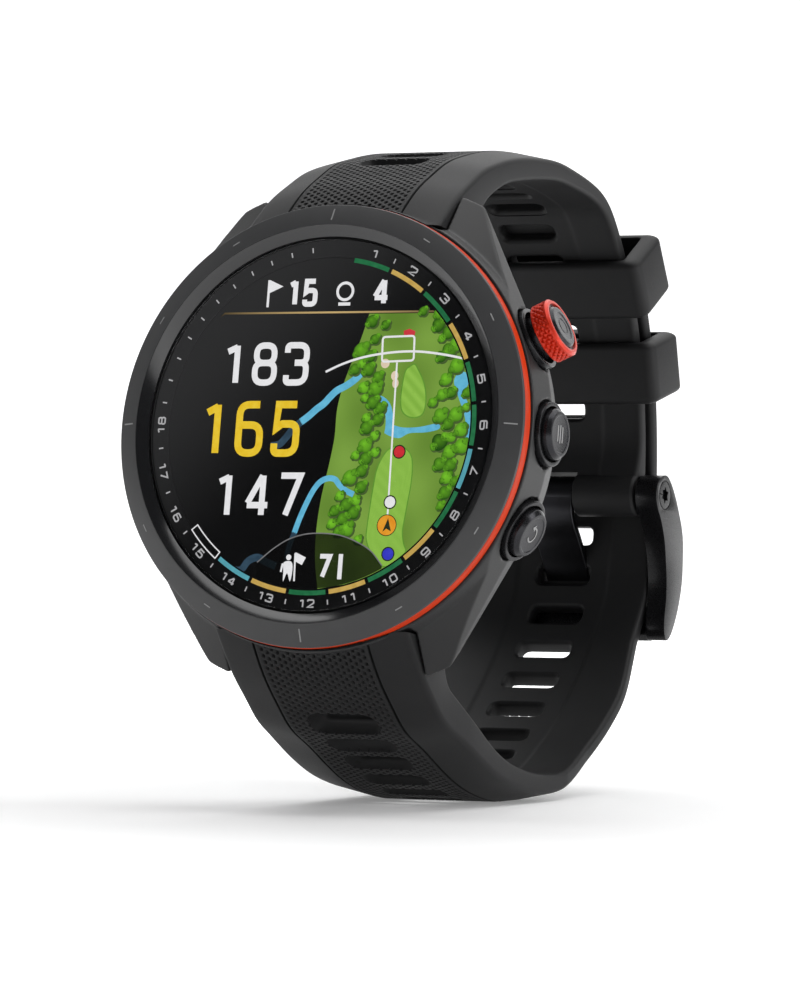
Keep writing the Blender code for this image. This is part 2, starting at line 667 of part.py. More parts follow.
ARM_OUTLINE = [
    (59.4, 1.1), (61.0, -0.6), (63.0, -3.0), (64.3, -5.9), (64.7, -8.4), (64.6, -11.0), (64.9, -13.3),
    (65.8, -13.9), (67.1, -12.3), (68.1, -8.6), (68.3, -5.0), (67.3, -1.6), (65.4, 1.4), (63.4, 3.9), (61.2, 4.8),
]
CROSSBAR_OUTLINE = [(66.5, -10.3), (68.0, -10.6), (67.6, -12.3), (65.9, -13.9), (65.35, -13.3)]
TANG_LINE = [
    (59.7, 2.2), (60.1, 0.6), (62.6, -2.1), (64.95, -4.9), (66.6, -7.0), (67.2, -9.0), (67.15, -10.9),
]
TANG_HALF_WIDTH = 2.7
TANG_THICKNESS = 0.9
EYE_RADIUS = 2.0


def make_buckle(dial):
    pin_place = (0, PIN_HEIGHT, -PIN_DEPTH)
    frame = prism("buckle_frame", CROSSBAR_OUTLINE, -ARM_INNER_X - 0.4, ARM_INNER_X + 0.4, dial, "buckle_black", "DH")
    for side, sign in (("right", 1), ("left", -1)):
        low, high = sorted((sign * ARM_INNER_X, sign * ARM_OUTER_X))
        arm = prism(f"arm_{side}", ARM_OUTLINE, low, high, dial, None, "DH", cutters)
        boolean(frame, as_cutter(arm), "UNION")
        boss_middle = sign * (ARM_INNER_X + BOSS_OUTER_X) / 2
        boss = rod(
            f"boss_{side}", BOSS_RADIUS, BOSS_OUTER_X - ARM_INNER_X, dial, None,
            (boss_middle, PIN_HEIGHT, -PIN_DEPTH), "X", collection=cutters,
        )
        boolean(frame, as_cutter(boss), "UNION")
        recess = (sign * BOSS_OUTER_X, PIN_HEIGHT, -PIN_DEPTH)
        boolean(frame, cutter_rod(f"screw_recess_{side}", 1.85, 1.2, dial, recess, "X"))
        screw_axis = make_empty(f"screw_axis_{side}", dial, pin_place, (0, sign * math.pi / 2, 0))
        screw = [(0, 13.35), (1.55, 13.35), (1.55, 12.95), (0.55, 12.95), (0.55, 10.3), (0, 10.3)]
        turned(f"pin_screw_{side}", screw, screw_axis, "dark_steel", 20, closed=False)
    boolean(frame, cutter_rod("frame_bore", 0.9, 40, dial, pin_place, "X", 16))
    boolean(frame, cutter_box("tip_notch", (2 * TANG_HALF_WIDTH + 0.9, 3.0, 8), dial, (0, -10.4, -67.2)))

    pin_axis = make_empty("pin_axis", dial, pin_place, (0, math.pi / 2, 0))
    rod("buckle_pin", PIN_RADIUS, 19.8, pin_axis, "bright_steel", steps=16)
    make_tang(dial, pin_axis)
    return frame


def make_tang(dial, pin_axis):
    line = spline(TANG_LINE, 1.2)
    normals = outward_normals(line)
    half = np.full(len(line), TANG_HALF_WIDTH)
    inner = line - normals * TANG_THICKNESS / 2
    outer = line + normals * TANG_THICKNESS / 2
    tang = ribbon("buckle_tang", inner, outer, half, dial, "dark_steel")
    eye = rod("tang_eye", EYE_RADIUS, 2 * TANG_HALF_WIDTH, pin_axis, None, collection=cutters)
    boolean(tang, as_cutter(eye), "UNION")
    return boolean(tang, cutter_rod("eye_bore", PIN_RADIUS + 0.3, 12, pin_axis, steps=16))


def tang_slot(dial):
    """The slanted hole that the tang lies in, with room for it to swing outward."""
    start, end = np.array(TANG_LINE[2]), np.array(TANG_LINE[4])
    along = (end - start) / np.linalg.norm(end - start)
    across = np.array([-along[1], along[0]])
    below, above = -0.8, 1.5
    middle = (start + end) / 2 + across * (below + above) / 2
    slope = math.atan2(-along[0], along[1])
    size = (2 * TANG_HALF_WIDTH + 0.9, 14.0, above - below)
    return cutter_box("tang_slot", size, dial, (0, middle[1], -middle[0]), (slope, 0, 0))


# ---------------------------------------------------------------- assembly

clear_scene()
parts = make_collection("golf_gps_watch")
cutters = make_collection("cutters")

stand = make_empty("stand", None, (DIAL_OFFSET, DIAL_SETBACK, DIAL_HEIGHT), (math.pi / 2 - LEAN, 0, 0))
button_axes = {
    name: make_empty(f"{name}_axis", stand, (0, 0, -BUTTON_DEPTH), (0, math.pi / 2, math.radians(degrees)))
    for name, degrees in BUTTON_ANGLES.items()
}

make_case(stand)
make_front(stand)
make_inside(stand)
make_back(stand)
for button, button_axis in button_axes.items():
    make_button(button, button_axis)
make_lower_strap(stand)
make_upper_strap(stand)
for keeper, degrees in KEEPER_ANGLES.items():
    make_keeper(keeper, degrees, stand)
make_spring_bar("upper", 1, stand)
make_spring_bar("lower", -1, stand)
make_buckle(stand)
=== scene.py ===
import math

import bmesh
import bpy
import numpy as np
from mathutils import Euler, Matrix, Vector


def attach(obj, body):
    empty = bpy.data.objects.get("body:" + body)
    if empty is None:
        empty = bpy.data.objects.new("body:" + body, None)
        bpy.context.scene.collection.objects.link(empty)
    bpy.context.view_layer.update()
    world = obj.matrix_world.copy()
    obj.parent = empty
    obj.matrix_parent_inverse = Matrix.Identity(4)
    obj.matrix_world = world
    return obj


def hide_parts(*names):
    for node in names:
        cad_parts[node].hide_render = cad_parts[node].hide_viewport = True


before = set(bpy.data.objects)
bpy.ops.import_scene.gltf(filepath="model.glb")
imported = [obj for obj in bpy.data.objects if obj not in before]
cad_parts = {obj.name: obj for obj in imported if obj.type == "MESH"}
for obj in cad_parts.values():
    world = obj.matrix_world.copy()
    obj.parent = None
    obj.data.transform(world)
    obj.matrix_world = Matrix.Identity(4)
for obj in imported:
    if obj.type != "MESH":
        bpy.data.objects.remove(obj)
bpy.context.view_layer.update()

# The look of a golf GPS watch. Everything is drawn in millimetres in the dial frame, +X to 3 o'clock, +Y to
# 12 o'clock, +Z out of the dial, and then stood up by DIAL.
MM = 0.001
LEAN = math.radians(9.3)
DIAL_CENTRE = Vector((-0.868, -31.505, 40.6))
DIAL = Matrix.Translation(DIAL_CENTRE * MM) @ Matrix.Rotation(math.pi / 2 - LEAN, 4, "X") @ Matrix.Scale(MM,
        4)


def at(x=0, y=0, z=0, rx=0, ry=0, rz=0):
    """A place in the dial frame: a location in mm and a rotation in degrees."""
    turn = Euler([math.radians(a) for a in (rx, ry, rz)]).to_matrix().to_4x4()
    return Matrix.Translation((x, y, z)) @ turn


# ---------------------------------------------------------------- materials


def node(tree, kind, **inputs):
    made = tree.nodes.new(kind)
    for key, value in inputs.items():
        made.inputs[key.replace("_", " ")].default_value = value
    return made


def srgb(*values):
    """A linear colour from 0-255 screen values."""
    scaled = [value / 255 for value in values]
    return tuple(v / 12.92 if v <= 0.04045 else ((v + 0.055) / 1.055) ** 2.4 for v in scaled) + (1.0,)


def noise(tree, coordinates, scale, stretch=(1, 1, 1), detail=3.0):
    mapping = node(tree, "ShaderNodeMapping", Scale=stretch)
    tree.links.new(coordinates, mapping.inputs["Vector"])
    texture = node(tree, "ShaderNodeTexNoise", Scale=scale, Detail=detail)
    tree.links.new(mapping.outputs["Vector"], texture.inputs["Vector"])
    return texture.outputs["Fac"]


def ramp(tree, factor, low, high, start=0.3, end=0.7):
    made = tree.nodes.new("ShaderNodeValToRGB")
    made.color_ramp.elements[0].position = start
    made.color_ramp.elements[1].position = end
    made.color_ramp.elements[0].color = low
    made.color_ramp.elements[1].color = high
    tree.links.new(factor, made.inputs["Fac"])
    return made.outputs["Color"]


def span(tree, factor, low, high):
    made = node(tree, "ShaderNodeMapRange", From_Min=0.3, From_Max=0.7, To_Min=low, To_Max=high)
    tree.links.new(factor, made.inputs["Value"])
    return made.outputs["Result"]


def surface(name, colour, roughness, metallic=0.0, grain=9000, stretch=(1, 1, 1), spread=0.12, bump=0.0,
            depth=0.00001, coat=0.0, specular=0.5):
    """A worn, slightly uneven solid finish: two shades, a varied roughness and a fine relief."""
    material = bpy.data.materials.new(name)
    material.use_nodes = True
    tree = material.node_tree
    shader = tree.nodes["Principled BSDF"]
    coordinates = tree.nodes.new("ShaderNodeTexCoord").outputs["Object"]
    broad = noise(tree, coordinates, grain * 0.03)
    fine = noise(tree, coordinates, grain, stretch)
    low = tuple(c * (1 - spread) for c in colour[:3]) + (1.0,)
    high = tuple(min(1.0, c * (1 + spread)) for c in colour[:3]) + (1.0,)
    tree.links.new(ramp(tree, broad, low, high), shader.inputs["Base Color"])
    tree.links.new(span(tree, fine, roughness * 0.85, min(1.0, roughness * 1.15)),
                   shader.inputs["Roughness"])
    shader.inputs["Metallic"].default_value = metallic
    shader.inputs["Specular IOR Level"].default_value = specular
    shader.inputs["Coat Weight"].default_value = coat
    shader.inputs["Coat Roughness"].default_value = 0.08
    if bump:
        relief = node(tree, "ShaderNodeBump", Strength=bump, Distance=depth)
        tree.links.new(fine, relief.inputs["Height"])
        tree.links.new(relief.outputs["Normal"], shader.inputs["Normal"])
    return material


def darken(material):
    """Painted shade: the moulded pits and grooves that the mesh marks go nearly black, standing in for the
    shade inside them.
    """
    tree = material.node_tree
    socket = tree.nodes["Principled BSDF"].inputs["Base Color"]
    attribute = tree.nodes.new("ShaderNodeAttribute")
    attribute.attribute_name = "pit_shade"
    blend = tree.nodes.new("ShaderNodeMixRGB")
    blend.inputs["Color2"].default_value = (0.0015, 0.0015, 0.0016, 1)
    tree.links.new(attribute.outputs["Fac"], blend.inputs["Fac"])
    tree.links.new(socket.links[0].from_socket, blend.inputs["Color1"])
    tree.links.new(blend.outputs["Color"], socket)


def sheen(material):
    """A painted reflection of the lens glass: a grey emission on the dial that fades from its upper left to
    its middle.
    """
    tree = material.node_tree
    shader = tree.nodes["Principled BSDF"]
    split = tree.nodes.new("ShaderNodeSeparateXYZ")
    tree.links.new(tree.nodes.new("ShaderNodeTexCoord").outputs["Object"], split.inputs["Vector"])
    across = node(tree, "ShaderNodeMath")
    across.operation = "SUBTRACT"
    tree.links.new(split.outputs["Z"], across.inputs[0])
    tree.links.new(split.outputs["X"], across.inputs[1])
    painted_reflection_fade = node(tree, "ShaderNodeMapRange", From_Min=0.038, From_Max=0.066, To_Min=0.0, To_Max=0.026)
    painted_reflection_fade.interpolation_type = "SMOOTHSTEP"
    tree.links.new(across.outputs["Value"], painted_reflection_fade.inputs["Value"])
    shader.inputs["Emission Color"].default_value = (1, 1, 1, 1)
    tree.links.new(painted_reflection_fade.outputs["Result"], shader.inputs["Emission Strength"])


def printed(name, low, high, strength=1.0, grain=1500):
    """A lit area of the display: emission between two shades that drift over the area."""
    material = bpy.data.materials.new(name)
    material.use_nodes = True
    tree = material.node_tree
    shader = tree.nodes["Principled BSDF"]
    shader.inputs["Base Color"].default_value = (0, 0, 0, 1)
    shader.inputs["Specular IOR Level"].default_value = 0.0
    coordinates = tree.nodes.new("ShaderNodeTexCoord").outputs["Object"]
    tree.links.new(ramp(tree, noise(tree, coordinates, grain), low, high), shader.inputs["Emission Color"])
    shader.inputs["Emission Strength"].default_value = strength
    return material


def shaded(name, low, high, strength=1.0):
    """A lit area whose shade follows the mesh's tone attribute, 0 to 1."""
    material = printed(name, low, high, strength)
    tree = material.node_tree
    shader = tree.nodes["Principled BSDF"]
    attribute = tree.nodes.new("ShaderNodeAttribute")
    attribute.attribute_name = "tone"
    tree.links.new(ramp(tree, attribute.outputs["Fac"], low, high, 0.0, 1.0),
                   shader.inputs["Emission Color"])
    return material


def clear_glass(name, tint, level):
    """Coated glass: clear, with a reflection that grows toward its edges."""
    material = bpy.data.materials.new(name)
    material.use_nodes = True
    tree = material.node_tree
    tree.nodes.remove(tree.nodes["Principled BSDF"])
    output = tree.nodes["Material Output"]
    through = node(tree, "ShaderNodeBsdfTransparent", Color=tint)
    mirror = node(tree, "ShaderNodeBsdfGlossy", Color=(level, level, level, 1))
    coordinates = tree.nodes.new("ShaderNodeTexCoord").outputs["Object"]
    tree.links.new(span(tree, noise(tree, coordinates, 300), 0.02, 0.04), mirror.inputs["Roughness"])
    fresnel = node(tree, "ShaderNodeFresnel", IOR=1.5)
    blend = tree.nodes.new("ShaderNodeMixShader")
    tree.links.new(fresnel.outputs["Fac"], blend.inputs["Fac"])
    tree.links.new(through.outputs["BSDF"], blend.inputs[1])
    tree.links.new(mirror.outputs["BSDF"], blend.inputs[2])
    tree.links.new(blend.outputs["Shader"], output.inputs["Surface"])
    return material


GREY = surface("bezel_satin", srgb(62, 62, 63), 0.40, 0.0, 16000, spread=0.04, bump=0.10, specular=0.5)
CHAMFER = surface("bezel_polish", srgb(22, 22, 24), 0.14, 0.0, 9000, spread=0.05, specular=0.8)
MARK = surface("index_mark", srgb(150, 150, 150), 0.45, 0.0, 8000, spread=0.05)
CASE = surface("case_moulding", srgb(28, 28, 29), 0.46, 0.0, 12000, spread=0.05, bump=0.15)
ORANGE = surface("orange_anodised_ring", srgb(206, 54, 6), 0.45, 0.0, 14000, spread=0.05, bump=0.08,
                 specular=0.25)
ORANGE_GRIP = surface("orange_anodised_grip", srgb(206, 42, 8), 0.33, 0.35, 14000, spread=0.06, bump=0.1)
BUTTON = surface("button_metal", srgb(50, 50, 53), 0.26, 0.75, 12000, spread=0.06, bump=0.06)
COLLAR = surface("collar_metal", srgb(46, 46, 48), 0.26, 0.7, 12000, spread=0.06, bump=0.06)
RUBBER = surface("strap_silicone", srgb(26, 26, 27), 0.56, 0.0, 20000, spread=0.05, bump=0.25, specular=0.3)
# painted shade: the strap's dimples and edge grooves are painted nearly black
darken(RUBBER)
BLACK_METAL = surface("buckle_black_metal", srgb(22, 22, 24), 0.28, 0.5, 12000, spread=0.08, bump=0.06,
                      coat=0.05)
STEEL = surface("tang_steel", srgb(60, 60, 63), 0.36, 1.0, 14000, (1, 1, 12), 0.08, 0.15)
BRIGHT = surface("bright_steel_turned", srgb(196, 196, 198), 0.22, 1.0, 9000, spread=0.05, bump=0.05)
MASK = surface("mask_print", srgb(16, 16, 17), 0.5, 0.0, 9000, spread=0.1, specular=0.1)
PANEL = surface("display_black", srgb(4, 4, 5), 0.4, 0.0, 6000, spread=0.2, specular=0.05)
# painted reflection: the mask and the display glow grey at their upper left, standing in for the lens's
# reflection
for finish in (MASK, PANEL):
    sheen(finish)
PRINT = printed("numeral_print", srgb(172, 172, 172), srgb(186, 186, 186), 1.0)
BACK = surface("back_polymer", srgb(40, 40, 42), 0.5, 0.0, 9000, spread=0.06, bump=0.2)
BOARD = surface("circuit_board", srgb(20, 74, 44), 0.45, 0.0, 2500, spread=0.25, bump=0.2)
CELL = surface("battery_foil", srgb(168, 168, 170), 0.42, 0.6, 3000, spread=0.06, bump=0.3)
COPPER = surface("antenna_copper", srgb(200, 120, 76), 0.35, 1.0, 8000, spread=0.08, bump=0.08)
GOLD = surface("contact_gold", srgb(222, 178, 92), 0.25, 1.0, 9000, spread=0.05, bump=0.08)
SEAL = surface("seal_black_rubber", srgb(26, 26, 26), 0.75, 0.0, 9000, spread=0.1, bump=0.2)
FRAME = surface("inner_polymer", srgb(58, 58, 60), 0.55, 0.0, 9000, spread=0.08, bump=0.15)
GLASS = clear_glass("lens_coated_glass", (0.97, 0.97, 0.98, 1), 0.6)
WINDOW = clear_glass("sensor_dark_glass", (0.22, 0.2, 0.2, 1), 0.9)
EMITTER = surface("sensor_emitter", srgb(70, 140, 80), 0.3, 0.0, 4000, spread=0.2, coat=0.4)

# ---------------------------------------------------------------- the axes of what turns or slides

BUTTON_Z = -6.4
BUTTON_ANGLES = {"start": 25, "middle": 0, "lower": -25}
BAR_Y, BAR_Z = 23.6, -9.4
PIN_Y, PIN_Z = 2.7, -61.2


def button_axis(degrees):
    return at(z=BUTTON_Z) @ at(ry=90, rz=degrees)


def bar_axis(sign):
    return at(y=sign * BAR_Y, z=BAR_Z, ry=90)


def pin_axis(x=0, ry=90):
    return at(x=x, y=PIN_Y, z=PIN_Z, ry=ry)


# ---------------------------------------------------------------- mesh helpers


def build(name, verts, faces, place, material, slot, body="watch", replaces=(), sharp=32, tidy=True,
          tones=None):
    """A piece from mm points: placed, smooth with its sharp edges kept, and riding its CAD body."""
    mesh = bpy.data.meshes.new(name)
    mesh.from_pydata([tuple(v) for v in verts], [], [tuple(f) for f in faces])
    if tidy:
        bm = bmesh.new()
        bm.from_mesh(mesh)
        bmesh.ops.recalc_face_normals(bm, faces=bm.faces)
        bm.to_mesh(mesh)
        bm.free()
    if tones is not None:
        mesh.attributes.new("tone", "FLOAT", "POINT").data.foreach_set("value", np.array(tones, np.float32))
    return settle(name, mesh, place, material, body, replaces, sharp)


def settle(name, mesh, place, material, body="watch", replaces=(), sharp=32):
    mesh.transform(DIAL @ place)
    mesh.shade_smooth()
    mesh.set_sharp_from_angle(angle=math.radians(sharp))
    mesh.materials.clear()
    mesh.materials.append(material)
    obj = bpy.data.objects.new(name, mesh)
    bpy.context.scene.collection.objects.link(obj)
    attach(obj, body)
    if replaces:
        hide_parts(*replaces)
    return obj


def eased(points, closed=True, steps=4):
    """Corners (a, b, radius) joined into an outline, each rounded by its radius."""
    out = []
    for i, point in enumerate(points):
        radius = point[2] if len(point) > 2 else 0
        here = Vector(point[:2])
        if not radius or (not closed and i in (0, len(points) - 1)):
            out.append(tuple(here))
            continue
        before = Vector(points[i - 1][:2]) - here
        after = Vector(points[(i + 1) % len(points)][:2]) - here
        cut = min(radius / math.tan(before.angle(after) / 2), before.length * 0.49, after.length * 0.49)
        start = here + before.normalized() * cut
        end = here + after.normalized() * cut
        for k in range(steps + 1):
            t = k / steps
            out.append(tuple((1 - t) ** 2 * start + 2 * t * (1 - t) * here + t * t * end))
    return out


def rounded_rectangle(x, y, radius, steps):
    return eased([(x, y, radius), (-x, y, radius), (-x, -y, radius), (x, -y, radius)], True, steps)


def lathe(profile, steps=192, closed=True, offset=None):
    """Points and faces of a (radius, z) profile turned about Z. offset(radius, angle, z) draws a radius in."""
    verts, rings = [], []
    for radius, z in profile:
        if abs(radius) < 1e-9:
            rings.append([len(verts)])
            verts.append((0, 0, z))
            continue
        rings.append(list(range(len(verts), len(verts) + steps)))
        for i in range(steps):
            angle = 2 * math.pi * i / steps
            r = radius - (offset(radius, angle, z) if offset else 0)
            verts.append((r * math.cos(angle), r * math.sin(angle), z))
    faces = []
    pairs = list(zip(rings, rings[1:])) + ([(rings[-1], rings[0])] if closed else [])
    for one, two in pairs:
        for i in range(steps):
            j = (i + 1) % steps
            face = [one[i % len(one)], one[j % len(one)], two[j % len(two)], two[i % len(two)]]
            faces.append(list(dict.fromkeys(face)))
    return verts, [f for f in faces if len(f) > 2]


def turned(name, profile, place, material, slot, steps=192, closed=True, offset=None, ease=4, **kw):
    verts, faces = lathe(eased(profile, closed, ease), steps, closed, offset)
    return build(name, verts, faces, place, material, slot, **kw)


def raw(name, verts, faces):
    """A mesh object in plain mm, for booleans, not shown and taken away after use."""
    mesh = bpy.data.meshes.new(name)
    mesh.from_pydata([tuple(v) for v in verts], [], [tuple(f) for f in faces])
    bm = bmesh.new()
    bm.from_mesh(mesh)
    bmesh.ops.recalc_face_normals(bm, faces=bm.faces)
    bm.to_mesh(mesh)
    bm.free()
    obj = bpy.data.objects.new(name, mesh)
    bpy.context.scene.collection.objects.link(obj)
    return obj


def moved(shape, place):
    verts, faces = shape
    return [tuple(place @ Vector(v)) for v in verts], faces


def joined(*shapes):
    verts, faces = [], []
    for some_verts, some_faces in shapes:
        faces += [[i + len(verts) for i in face] for face in some_faces]
        verts += list(some_verts)
    return verts, faces


def prism(outline, low, high):
    """An (x, y) outline made solid between two z."""
    n = len(outline)
    verts = [(x, y, low) for x, y in outline] + [(x, y, high) for x, y in outline]
    faces = [list(range(n))[::-1], list(range(n, 2 * n))]
    faces += [[i, (i + 1) % n, n + (i + 1) % n, n + i] for i in range(n)]
    return verts, faces


def rod(radius, length, steps=48):
    return prism([(radius * math.cos(a),
                   radius * math.sin(a)) for a in np.arange(steps) * 2 * math.pi / steps],
                 -length / 2, length / 2)


def block(x, y, z):
    return prism([(-x / 2, -y / 2), (x / 2, -y / 2), (x / 2, y / 2), (-x / 2, y / 2)], -z / 2, z / 2)


def carved(shape, steps, modifiers=(), pit_shades=None):
    """A shape after a list of (operation, shape) booleans and then modifiers (type, settings)."""
    base = raw("blank", *shape)
    if pit_shades is not None:
        base.data.attributes.new("pit_shade", "FLOAT", "POINT").data.foreach_set("value",
                np.array(pit_shades, np.float32))
    tools = []
    for operation, other in steps:
        tool = raw("tool", *other)
        tools.append(tool)
        change = base.modifiers.new("cut", "BOOLEAN")
        change.operation = operation
        change.solver = "EXACT"
        change.object = tool
    for kind, settings in modifiers:
        change = base.modifiers.new("shape", kind)
        for key, value in settings.items():
            setattr(change, key, value)
    graph = bpy.context.evaluated_depsgraph_get()
    mesh = bpy.data.meshes.new_from_object(base.evaluated_get(graph))
    for obj in [base] + tools:
        bpy.data.objects.remove(obj)
    return mesh


IDENTITY = Matrix.Identity(4)
SOFT_EDGE = {"width": 0.25, "segments": 3, "limit_method": "ANGLE", "angle_limit": math.radians(28),
             "harden_normals": False}

# ---------------------------------------------------------------- bezel, rings and case

turned("bezel", [(21.08, 0.57, 0.10), (23.4, -0.54, 0.14), (23.45, -0.85), (19.98, -0.85), (19.98, -0.28)],
       IDENTITY, GREY, "ceramic", 256, replaces=["bezel_ring"], sharp=40)
turned("bezel_inner_chamfer", [(21.02, 0.585, 0.03), (21.05, 0.56), (20.3, -0.3), (19.95, -0.5), (19.94,
        -0.265, 0.03)],
       IDENTITY, CHAMFER, "ceramic", 256, sharp=50)
turned("accent", [(22.95, -0.9), (23.4, -0.9, 0.04), (23.48, -1.05, 0.06), (23.49, -2.05), (22.95, -2.05)],
       IDENTITY, ORANGE, "orange_anodised", 256, replaces=["accent_ring"], sharp=40)

BEZEL_SLOPE = -1.11 / 2.32
MARK_RADIUS = 22.25
MARK_PLACE = at(x=MARK_RADIUS, z=0.575 + BEZEL_SLOPE * (MARK_RADIUS - 21.08),
                ry=-math.degrees(math.atan(BEZEL_SLOPE)))
marks = []
for hour in range(12):
    # long and radial at the quarters, short and along the ring at the other hours
    bar = block(1.43, 0.15, 0.05) if hour % 3 == 0 else block(0.13, 0.85, 0.05)
    marks.append(moved(bar, at(rz=30 * hour) @ MARK_PLACE))
mesh = carved(joined(*marks), [], [("BEVEL", {**SOFT_EDGE, "width": 0.012, "segments": 1})])
settle("bezel_marks", mesh, IDENTITY, MARK)


def case_plan():
    """The case seen from the front: a circle with two lugs at 12 and two at 6 o'clock."""
    radius, lug_x = 23.75, 11.4
    tip = (14.1, 24.4)
    tangent = math.atan2(tip[1], tip[0]) - math.acos(radius / math.hypot(*tip))
    inner = math.acos(lug_x / radius)
    quarter = [(radius * math.cos(a), radius * math.sin(a)) for a in np.linspace(0, tangent, 32)]
    lug = eased([quarter[-1], (*tip, 0.5), (lug_x, 25.5, 0.35), (lug_x, 20.8)], False, 8)
    quarter += [(x, y) for x, y in lug[1:-1]]
    quarter += [(radius * math.cos(a), radius * math.sin(a)) for a in np.linspace(inner, math.pi / 2, 24)]
    upper = quarter + [(-x, y) for x, y in reversed(quarter[:-1])]
    return upper + [(x, -y) for x, y in reversed(upper[1:-1])]


def make_case():
    profile = [(20.3, -1.0), (22.7, -1.0), (22.7, -2.15), (23.8, -2.15), (24.15, -3.8), (28.8, -7.6),
               (28.8, -11.6), (17.8, -11.6), (17.8, -9.6), (20.3, -9.6)]
    plan = case_plan()
    solid = prism(plan, -6.9, 0.9)
    count = len(plan)
    verts = [list(v) for v in solid[0]]
    faces = [face for face in solid[1] if len(face) < 10]
    before = list(range(count))
    # the wall leans in toward the back and ends in a chamfer, but not toward the strap. The lugs thin out
    for drawn_in, more, level, lift in ((1.1, 0.3, -10.4, 0.8), (1.9, 0.7, -11.8, 0.0)):
        ring = []
        for x, y in plan:
            radius = math.hypot(x, y)
            share = max(0.0, (radius - 23.75) / 4.45)
            keep = 1 - (drawn_in + more * share) / radius
            ring.append(len(verts))
            verts.append([x if abs(x) < 12.2 and abs(y) > 20 else x * keep, y * keep, level + lift * share])
        for i in range(count):
            j = (i + 1) % count
            faces += [[before[i], ring[i], ring[j]], [before[i], ring[j], before[j]]]
        before = ring
    faces += [before, list(range(count, 2 * count))]
    cuts = [("INTERSECT", (verts, faces))]
    for sign in (1, -1):
        cuts.append(("DIFFERENCE", moved(rod(2.45, 22.8, 64), bar_axis(sign))))
        cuts.append(("DIFFERENCE", moved(rod(0.62, 25.6, 24), bar_axis(sign))))
    for degrees in BUTTON_ANGLES.values():
        axis = button_axis(degrees)
        cuts.append(("DIFFERENCE", moved(rod(1.6, 4.5, 32), axis @ at(z=20.8))))
        cuts.append(("DIFFERENCE", moved(rod(3.62, 4, 64), axis @ at(z=24.55))))
    shapers = [("REMESH", {"mode": "VOXEL", "voxel_size": 0.17}),
               ("SMOOTH", {"factor": 0.5, "iterations": 2})]
    mesh = carved(lathe(profile, 256), cuts, shapers)
    settle("case_body", mesh, IDENTITY, CASE, replaces=["main_case"], sharp=60)


make_case()

turned("lens", [(0, -0.3), (19.72, -0.3, 0.14), (19.72, -0.8, 0.04), (0, -0.8)], IDENTITY, GLASS, "glass",
       192, False, replaces=["lens_glass"])
turned("mask_ring", [(17.86, -0.88), (19.72, -0.88), (19.72, -0.98), (17.86, -0.98)], IDENTITY, MASK,
       "black_print",
       192, replaces=["dial_mask"])
turned("display", [(0, -0.88), (17.8, -0.88, 0.02), (17.8, -2.0), (0, -2.0)], IDENTITY, PANEL, "screen",
       192, False, replaces=["display_panel"])

# ---------------------------------------------------------------- buttons


def knurl(radius, angle, z):
    """Two crossing sets of grooves round the grip."""
    if radius < 3.19 or not 25.02 < z < 26.42:
        return 0.0
    around, pitch = angle * 26 / (2 * math.pi), 0.62
    one = (around + (z - 25.72) / pitch) % 1.0
    two = (around - (z - 25.72) / pitch) % 1.0
    edge = min(one, 1 - one, two, 1 - two)
    return 0.17 * max(0.0, 1 - edge / 0.24)


for button, degrees in BUTTON_ANGLES.items():
    axis = button_axis(degrees)
    body = f"{button}_button_body"
    turned(f"{button}_bushing", [(2.93, 24.1, 0.05), (3.37, 24.1, 0.12), (3.37, 22.7), (2.93, 22.7)], axis,
           COLLAR,
           "dark_steel", 96, replaces=[f"{button}_collar"])
    if button == "start":
        cap = [(0, 26.93), (0.72, 26.93), (0.8, 26.86), (0.9, 26.86), (0.98, 26.93), (1.55, 26.93, 0.1),
               (1.62, 27.0, 0.02), (2.1, 27.0, 0.1), (2.36, 26.72, 0.1), (2.36, 23.35),
               (0.8, 23.35), (0.8, 19.6), (0, 19.6)]
        rows = [25.0 + 0.06 * i for i in range(25)]
        grip = [(2.64, 26.84, 0.03), (2.95, 26.84, 0.06), (3.2, 26.6, 0.05), (3.2, 26.46)]
        grip += [(3.2, z) for z in reversed(rows)] + [(3.2, 24.9, 0.05), (3.1, 24.82), (2.64, 24.82)]
        turned("start_grip", grip, axis, ORANGE_GRIP, "orange_anodised", 312, offset=knurl, body=body,
               replaces=["start_grip_ring"], sharp=50)
        turned("start_inner_rim", [(2.3, 26.6), (2.68, 26.6), (2.68, 25.0), (2.3, 25.0)], axis, COLLAR,
               "dark_steel",
               96, body=body)
    else:
        cap = [(0, 24.95), (1.9, 24.95, 0.1), (1.98, 25.02, 0.03), (2.3, 25.02, 0.12), (2.67, 24.6, 0.15),
               (2.67, 23.35),
               (0.8, 23.35), (0.8, 19.6), (0, 19.6)]
    turned(f"{button}_cap", cap, axis, BUTTON, "dark_steel", 96, False, body=body,
           replaces=[f"{button}_button"])

icons = []
for offset in (-0.55, 0.0, 0.55):
    icons.append(moved(block(0.22, 1.9 - abs(offset) * 0.4, 0.05), at(x=offset)))
mesh = carved(joined(*icons), [], [("BEVEL", {**SOFT_EDGE, "width": 0.02, "segments": 1})])
settle("middle_icon", mesh, button_axis(0) @ at(z=24.96), MARK, "middle_button_body")


def ribbon2(points, width, closed=False):
    """A flat stroke of a width along (x, y) points, mitred at its corners."""
    line = np.array(points, float)
    count = len(line)
    verts, faces = [], []
    for i in range(count):
        before = line[i] - line[i - 1] if closed or i else line[1] - line[0]
        after = line[(i + 1) % count] - line[i] if closed or i < count - 1 else before
        before = before / (np.linalg.norm(before) + 1e-12)
        after = after / (np.linalg.norm(after) + 1e-12)
        across = np.array([-(before + after)[1], (before + after)[0]])
        size = np.linalg.norm(across)
        across = across / size if size > 1e-6 else np.array([-before[1], before[0]])
        reach = width / 2 / max(0.5, abs(across @ np.array([-before[1], before[0]])))
        verts += [tuple(line[i] + across * reach), tuple(line[i] - across * reach)]
    for i in range(count if closed else count - 1):
        j = (i + 1) % count
        faces.append([2 * i, 2 * i + 1, 2 * j + 1, 2 * j])
    return verts, faces


